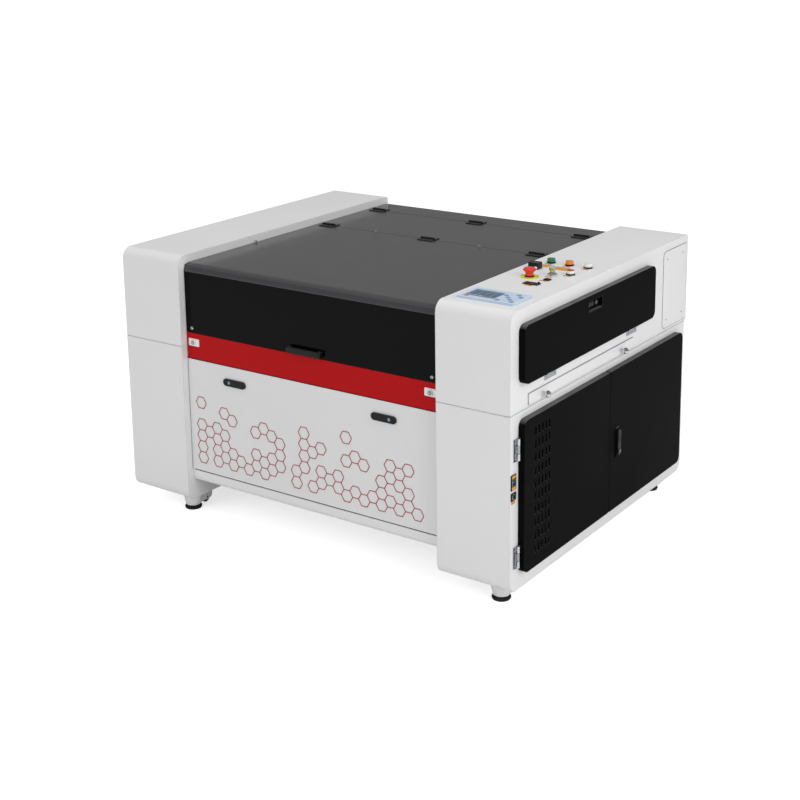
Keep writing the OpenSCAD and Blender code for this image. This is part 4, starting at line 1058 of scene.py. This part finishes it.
class LASER_OT_side_ports(bpy.types.Operator):
    """Fits the sockets beside the lower doors and their bare tags"""
    bl_idname = "laser.side_ports"
    bl_label = "Side ports"

    def execute(self, context):
        lower, upper = sorted(islands("side_ports"), key=lambda box: box[0].z)
        face, cabinet = upper[1].x, in_mm(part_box("right_lower_cabinet"))[1].x
        c = middle(upper)
        plates("port_tags", "root", "tag_plate",
               [(22, 10, 1, 0.5, seat("right", x, c.y, z))
                for x, z in ((face, upper[1].z - 6.5), (face, upper[0].z + 6.5),
                             (cabinet, lower[0].z - 7))])
        rings("port_frames", "root", "ground_steel",
              [(rounded(20, 19, 1.4), rounded(16, 16, 1), 0.8, seat("right", face, c.y, c.z)),
               (disc(9.6, 32), disc(7, 32), 0.8,
                seat("right", lower[1].x, c.y, middle(lower).z))])
        plates("port_tongue", "root", "key_blue",
               [(11, 5, 0.8, 1.4, seat("right", face - 2, c.y, c.z))])
        return {"FINISHED"}


class LASER_OT_panel_screws(bpy.types.Operator):
    """Screws the service covers, the vented panel, the rear panel and the spigot's flange"""
    bl_idname = "laser.panel_screws"
    bl_label = "Panel screws"

    def execute(self, context):
        covers = islands("service_covers")
        dark = []
        for box in covers:
            low, high = box
            side = math.copysign(1, middle(box).x)
            dark += [seat(side_face(side), outer_x(box, side) - side * 0.6, y, z)
                     for y in (low.y + 29, high.y - 29) for z in (low.z + 30, high.z - 29)]
        screws("cover_screws", "root", dark,
               Millimetres(context.scene.laser_hardware).screw, 1.4, "dark_steel")
        slot_covers = [in_mm(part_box(name)) for name in ("right_slot_cover", "left_slot_cover")]
        # Painted shade: thin grey rings round the service and slot covers stand in for the shadow
        # in the gaps round them
        rings("cover_shade_rings", "root", "grey_moulding",
              [self.shade_ring(box, 20, 4) for box in covers]
              + [self.shade_ring(box, 4, 4) for box in slot_covers])
        low, high = in_mm(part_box("left_service_panel"))
        bright = [seat("left", low.x, y, z) for z in (low.z + 14, high.z - 14)
                  for y in (low.y + 14, (low.y + high.y) / 2, high.y - 14)]
        low, high = in_mm(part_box("rear_panel"))
        bright += [seat("rear", s * (high.x - 12), high.y, low.z + 60 + 130 * i)
                   for s in BOTH for i in range(6)]
        bright += [seat("rear", x * 120, high.y, high.z - 12) for x in range(-3, 4)]
        low, high = in_mm(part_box("exhaust_spigot"))
        c = middle((low, high))
        flange, reach = 2, (high.x - low.x) / 2 - 8
        bright += [seat("rear", c.x + x, low.y + flange, c.z + z)
                   for x, z in (round_point(reach, math.radians(a)) for a in (45, 135, 225, 315))]
        screws("panel_screws", "root", bright, 4, 2.2)
        pipe, from_end = reach - 10, 14     # the pipe's radius, and the bead's place on it
        rings("spigot_bead", "root", "brushed_aluminium",
              [(disc(pipe + 1.6, 64), disc(pipe + 0.02, 64), 3,
                seat("rear", c.x, high.y - from_end, c.z))])
        return {"FINISHED"}

    @staticmethod
    def shade_ring(box, front_r, rear_r):
        """Outlines, thickness and place of a thin grey ring round a cover on the cabinet wall:
        painted shade standing in for the shadow in the gap round the cover.
        """
        low, high = box
        c = middle(box)
        side = math.copysign(1, c.x)
        radii = (rear_r, front_r, front_r, rear_r)
        if side < 0:
            radii = (front_r, rear_r, rear_r, front_r)

        def grown(by):
            return rounded(high.y - low.y + 2 * by, high.z - low.z + 2 * by,
                           tuple(r + by for r in radii))

        cabinet = side * in_mm(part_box("right_upper_cabinet"))[1].x
        return grown(1.6), grown(0.2), 0.8, seat(side_face(side), cabinet, c.y, c.z)


class LASER_OT_gantry(bpy.types.Operator):
    """Lays the belt on the gantry, with its pulleys, and trims the laser head"""
    bl_idname = "laser.gantry"
    bl_label = "Gantry"

    def execute(self, context):
        belt = Millimetres(context.scene.laser_interior).belt
        low, high = in_mm(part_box("gantry_beam"))
        head = in_mm(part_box("laser_head"))
        half_loop, behind_head, shorter = 8, 26, 60
        y, span = head[1].y + behind_head, high.x - low.x - shorter
        plates("gantry_belt", "gantry", "black_rubber",
               [(span, belt, 0.5, 1.4, seat("top", 0, y + s * half_loop, high.z))
                for s in BOTH])
        r = half_loop + belt / 2
        turned("belt_pulleys", "gantry", "brushed_aluminium",
               [(r, 0), (r, 1), (r - 2, 1.4), (r - 2, 6), (r, 6.4), (r, 7.4), (3, 7.4),
                (0, 7.4)],
               [seat("top", s * (span / 2 + 6), y, high.z) for s in BOTH])
        nozzle_in = 35
        c, nozzle_y = middle(head), head[1].y - nozzle_in
        rings("lens_rings", "laser_head", "brass",
              [(disc(16, 36), disc(15.02, 36), 2, seat("top", c.x, nozzle_y, head[0].z + rise))
               for rise in (22, 30, 38)])
        screws("mirror_screws", "laser_head",
               [seat("top", c.x + a * 12, nozzle_y + b * 12, head[1].z)
                for a, b in ((-1, -1), (1, -1), (-1, 1))], 3, 3, "brass")
        return {"FINISHED"}


class LASER_OT_laser_tube(bpy.types.Operator):
    """Straps the laser tube into its saddles and caps its ends"""
    bl_idname = "laser.laser_tube"
    bl_label = "Laser tube"

    def execute(self, context):
        size = Millimetres(context.scene.laser_interior)
        low, high = in_mm(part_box("laser_tube"))
        r, stub, cap_in, gap = 40, 16, 20, 0.1
        y, z = middle((low, high)).y, high.z - stub - r
        mesh = bmesh.new()
        for face, x in (("left", low.x + cap_in), ("right", high.x - cap_in)):
            revolve(mesh, [(r + 0.8, -14), (r + 0.8, 0.4), (0.9 * r, 1.2), (0.61 * r, 1.2)],
                    seat(face, x, y, z), 48)
        finish_piece("tube_end_caps", mesh, "root", "brushed_aluminium")
        outer, inner, foot, t = r + size.strap, r + gap, r + 12, size.strap
        turn = [math.radians(a) for a in range(4, 177, 8)]
        outline = [(foot, gap), (foot, t), (outer, t)]
        outline += [round_point(outer, a) for a in turn]
        outline += [(-outer, t), (-foot, t), (-foot, gap), (-inner, gap)]
        outline += [round_point(inner, a) for a in reversed(turn)]
        outline.append((inner, gap))
        saddles = (-350, 350)
        flat("tube_straps", "root", "black_moulding",
             [(outline, size.strap_width, seat("right", x - size.strap_width / 2, y, z))
              for x in saddles])
        screws("strap_bolts", "root",
               [seat("top", x, y + s * (r + 7), z + t) for x in saddles for s in BOTH], 3, 2)
        return {"FINISHED"}


class LASER_OT_electronics(bpy.types.Operator):
    """Fits fan, terminals, fins and switches on the modules behind the lower doors"""
    bl_idname = "laser.electronics"
    bl_label = "Electronics"

    def execute(self, context):
        size = Millimetres(context.scene.laser_interior)
        low = in_mm(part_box("electronics_rack"))[0]
        board = 3
        supply, drive, controller, relay = 120, 85, 45, 60     # depths of the modules

        def on(depth, y, z):
            return seat("right", low.x + board + depth, low.y + y, low.z + z)

        mesh = bmesh.new()
        guard = on(supply, 110, 105)
        for part in (1.0, 0.76, 0.52, 0.28):
            r = size.fan * part
            framed(mesh, disc(r), disc(r - 2), 1.2, guard)
        for i in range(4):
            raised(mesh, rounded(2 * size.fan, 2, 0.5), 1.6,
                   guard @ Matrix.Rotation(math.pi * i / 4, 4, "Z"))
        finish_piece("supply_fan", mesh, "root", "chrome_plate")
        green = [(80, 12, 1, 7, on(supply, 220, 45))]
        green += [(34, 9, 1, 4, on(drive, 65 + 70 * i, z)) for i in range(3)
                  for z in (232, 328)]
        green += [(18, 9, 1, 5, on(controller, 345 + 26 * i, 222)) for i in range(6)]
        plates("terminal_blocks", "root", "green_plastic", green)
        plates("drive_fins", "root", "brushed_aluminium",
               [(2, 74, 0.4, 6, on(drive, 50 + 70 * i + 7.5 * j, 280))
                for i in range(3) for j in range(5)])
        plates("controller_cover", "root", "white_moulding",
               [(150, 92, 5, 1.4, on(controller, 410, 288))])
        case = 8
        plates("relay_modules", "root", "white_moulding",
               [(27, 84, 2, case, on(relay, 350 + 30 * i, 95)) for i in range(5)])
        plates("relay_switches", "root", "black_moulding",
               [(9, 16, 1.5, 5, on(relay + case, 350 + 30 * i, 98)) for i in range(5)])
        screws("module_screws", "root",
               [on(supply, y, z) for y in (50, 270) for z in (40, 170)]
               + [on(controller, y, z) for y in (330, 490) for z in (240, 340)],
               size.module_screw, 1.6)
        return {"FINISHED"}


class LASER_OT_feet(bpy.types.Operator):
    """Ribs the levelling pads and caps the castor wheels"""
    bl_idname = "laser.feet"
    bl_label = "Feet"

    def execute(self, context):
        pads = []
        for box in islands("foot_pads"):
            c, r = middle(box), (box[1].x - box[0].x) / 2
            pads.append((disc(r + 0.5), disc(r - 1.4), 2.4,
                         seat("top", c.x, c.y, box[0].z + 4.6)))
        rings("pad_rims", "root", "black_rubber", pads)
        half_tread = 11
        for name in ("front_left_wheel", "front_right_wheel", "rear_left_wheel",
                     "rear_right_wheel"):
            c = middle(in_mm(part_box(name)))
            turned(name + "_hubs", name, "grey_moulding",
                   [(13, 0), (12.4, 0.5), (8, 0.3), (7, 0.7), (4.2, 0.7)],
                   [seat(side_face(s), c.x + s * half_tread, c.y, c.z) for s in BOTH])
        return {"FINISHED"}


def seen_directly(tree):
    """The Light Path node, and 1 for rays from the camera or through glass."""
    path = add_node(tree, "LightPath", {}).outputs
    return path, reckon(tree, "ADD", path["Is Camera Ray"], path["Is Transmission Ray"])


class LASER_OT_stage(bpy.types.Operator):
    """Sets the floor, the soft lamps and the camera, in metres"""
    bl_idname = "laser.stage"
    bl_label = "Stage"

    floor_half = 30
    floor_glow = 0.62       # brings the floor that the camera sees up to white
    aim = (0, 0, 0.5)       # where the lamps point
    sensor = 36             # width in millimetres

    def execute(self, context):
        stage = context.scene.laser_stage
        self.floor()
        self.world(context.scene, stage)
        self.lamps(stage)
        self.camera(context.scene, stage)
        context.scene.view_settings.view_transform = "Standard"
        return {"FINISHED"}

    def floor(self):
        half = self.floor_half
        data = bpy.data.meshes.new("floor")
        data.from_pydata([(-half, -half, 0), (half, -half, 0), (half, half, 0),
                          (-half, half, 0)], [], [(0, 1, 2, 3)])
        tree, shader = base_material("floor_white")
        seen = seen_directly(tree)[1]
        for label, value in (("Base Color", (0.92, 0.92, 0.92, 1)), ("Roughness", 0.9),
                             ("Specular IOR Level", 0.0), ("Emission Color", (1, 1, 1, 1)),
                             ("Emission Strength",
                              reckon(tree, "MULTIPLY", seen, self.floor_glow))):
            feed(tree, shader[label], value)
        data.materials.append(MATERIALS["floor_white"])
        link_object("floor", data)

    @staticmethod
    def world(scene, stage):
        """White behind the machine, and a dimmer white as light on it."""
        scene.world = bpy.data.worlds.new("studio")
        scene.world.use_nodes = True
        tree = scene.world.node_tree
        back = tree.nodes["Background"].inputs
        path, seen = seen_directly(tree)
        dimmed = reckon(tree, "MULTIPLY", path["Is Glossy Ray"], stage.mirrored - stage.ambient)
        strength = reckon(tree, "ADD", reckon(tree, "MULTIPLY", seen, 1.0 - stage.ambient),
                          stage.ambient)
        feed(tree, back["Color"], (1, 1, 1, 1))
        feed(tree, back["Strength"], reckon(tree, "ADD", strength, dimmed))

    def lamps(self, stage):
        for name, place, size, power in (
                ("right_lamp", (4.5, -1.2, 2.4), 3.0, stage.right_power),
                ("front_lamp", (-1.4, -4.6, 2.6), 3.0, stage.front_power),
                ("top_lamp", (0.0, 0.2, 4.4), 3.6, stage.top_power)):
            data = bpy.data.lights.new(name, "AREA")
            data.size, data.energy = size, power
            lamp = link_object(name, data)
            lamp.location = place
            aim = Vector(self.aim) - Vector(place)
            lamp.rotation_euler = aim.to_track_quat("-Z", "Y").to_euler()
            lamp.visible_glossy = False

    def camera(self, scene, stage):
        a, e = stage.azimuth, stage.elevation
        back = Vector((math.sin(a) * math.cos(e), -math.cos(a) * math.cos(e), math.sin(e)))
        right = Vector((0, 0, 1)).cross(back).normalized()
        turn = Matrix((right, back.cross(right), back)).transposed().to_4x4()
        data = bpy.data.cameras.new("camera")
        data.lens, data.sensor_width, data.shift_y = stage.lens, self.sensor, stage.shift
        camera = link_object("camera", data)
        camera.matrix_world = (Matrix.Translation(stage.place) @ turn
                               @ Matrix.Rotation(stage.roll, 4, "Z"))
        scene.camera = camera


OPERATORS = (
    LASER_OT_finishes, LASER_OT_panel_print, LASER_OT_lid_hardware, LASER_OT_front_hardware,
    LASER_OT_screen, LASER_OT_stop_and_key, LASER_OT_buttons, LASER_OT_instruments,
    LASER_OT_tags, LASER_OT_door_hinges, LASER_OT_side_doors, LASER_OT_lower_doors,
    LASER_OT_side_ports, LASER_OT_panel_screws, LASER_OT_gantry, LASER_OT_laser_tube,
    LASER_OT_electronics, LASER_OT_feet, LASER_OT_stage)


class LASER_PT_panel(bpy.types.Panel):
    """Lists the steps of the dressing"""
    bl_idname = "LASER_PT_panel"
    bl_label = "Laser machine"
    bl_space_type = "VIEW_3D"
    bl_region_type = "UI"
    bl_category = "Laser machine"

    def draw(self, context):
        for operator in OPERATORS:
            self.layout.operator(operator.bl_idname)


SETTINGS = {"laser_finishes": LASER_PG_finishes, "laser_print": LASER_PG_print,
            "laser_hardware": LASER_PG_hardware, "laser_interior": LASER_PG_interior,
            "laser_stage": LASER_PG_stage}
CLASSES = (*SETTINGS.values(), *OPERATORS, LASER_PT_panel)


def register():
    for cls in CLASSES:
        bpy.utils.register_class(cls)
    for name, cls in SETTINGS.items():
        setattr(bpy.types.Scene, name, PointerProperty(type=cls))


def unregister():
    for name in SETTINGS:
        delattr(bpy.types.Scene, name)
    for cls in reversed(CLASSES):
        bpy.utils.unregister_class(cls)


def main():
    register()
    for operator in OPERATORS:
        group, name = operator.bl_idname.split(".")
        getattr(getattr(bpy.ops, group), name)()


if __name__ == "__main__":
    main()
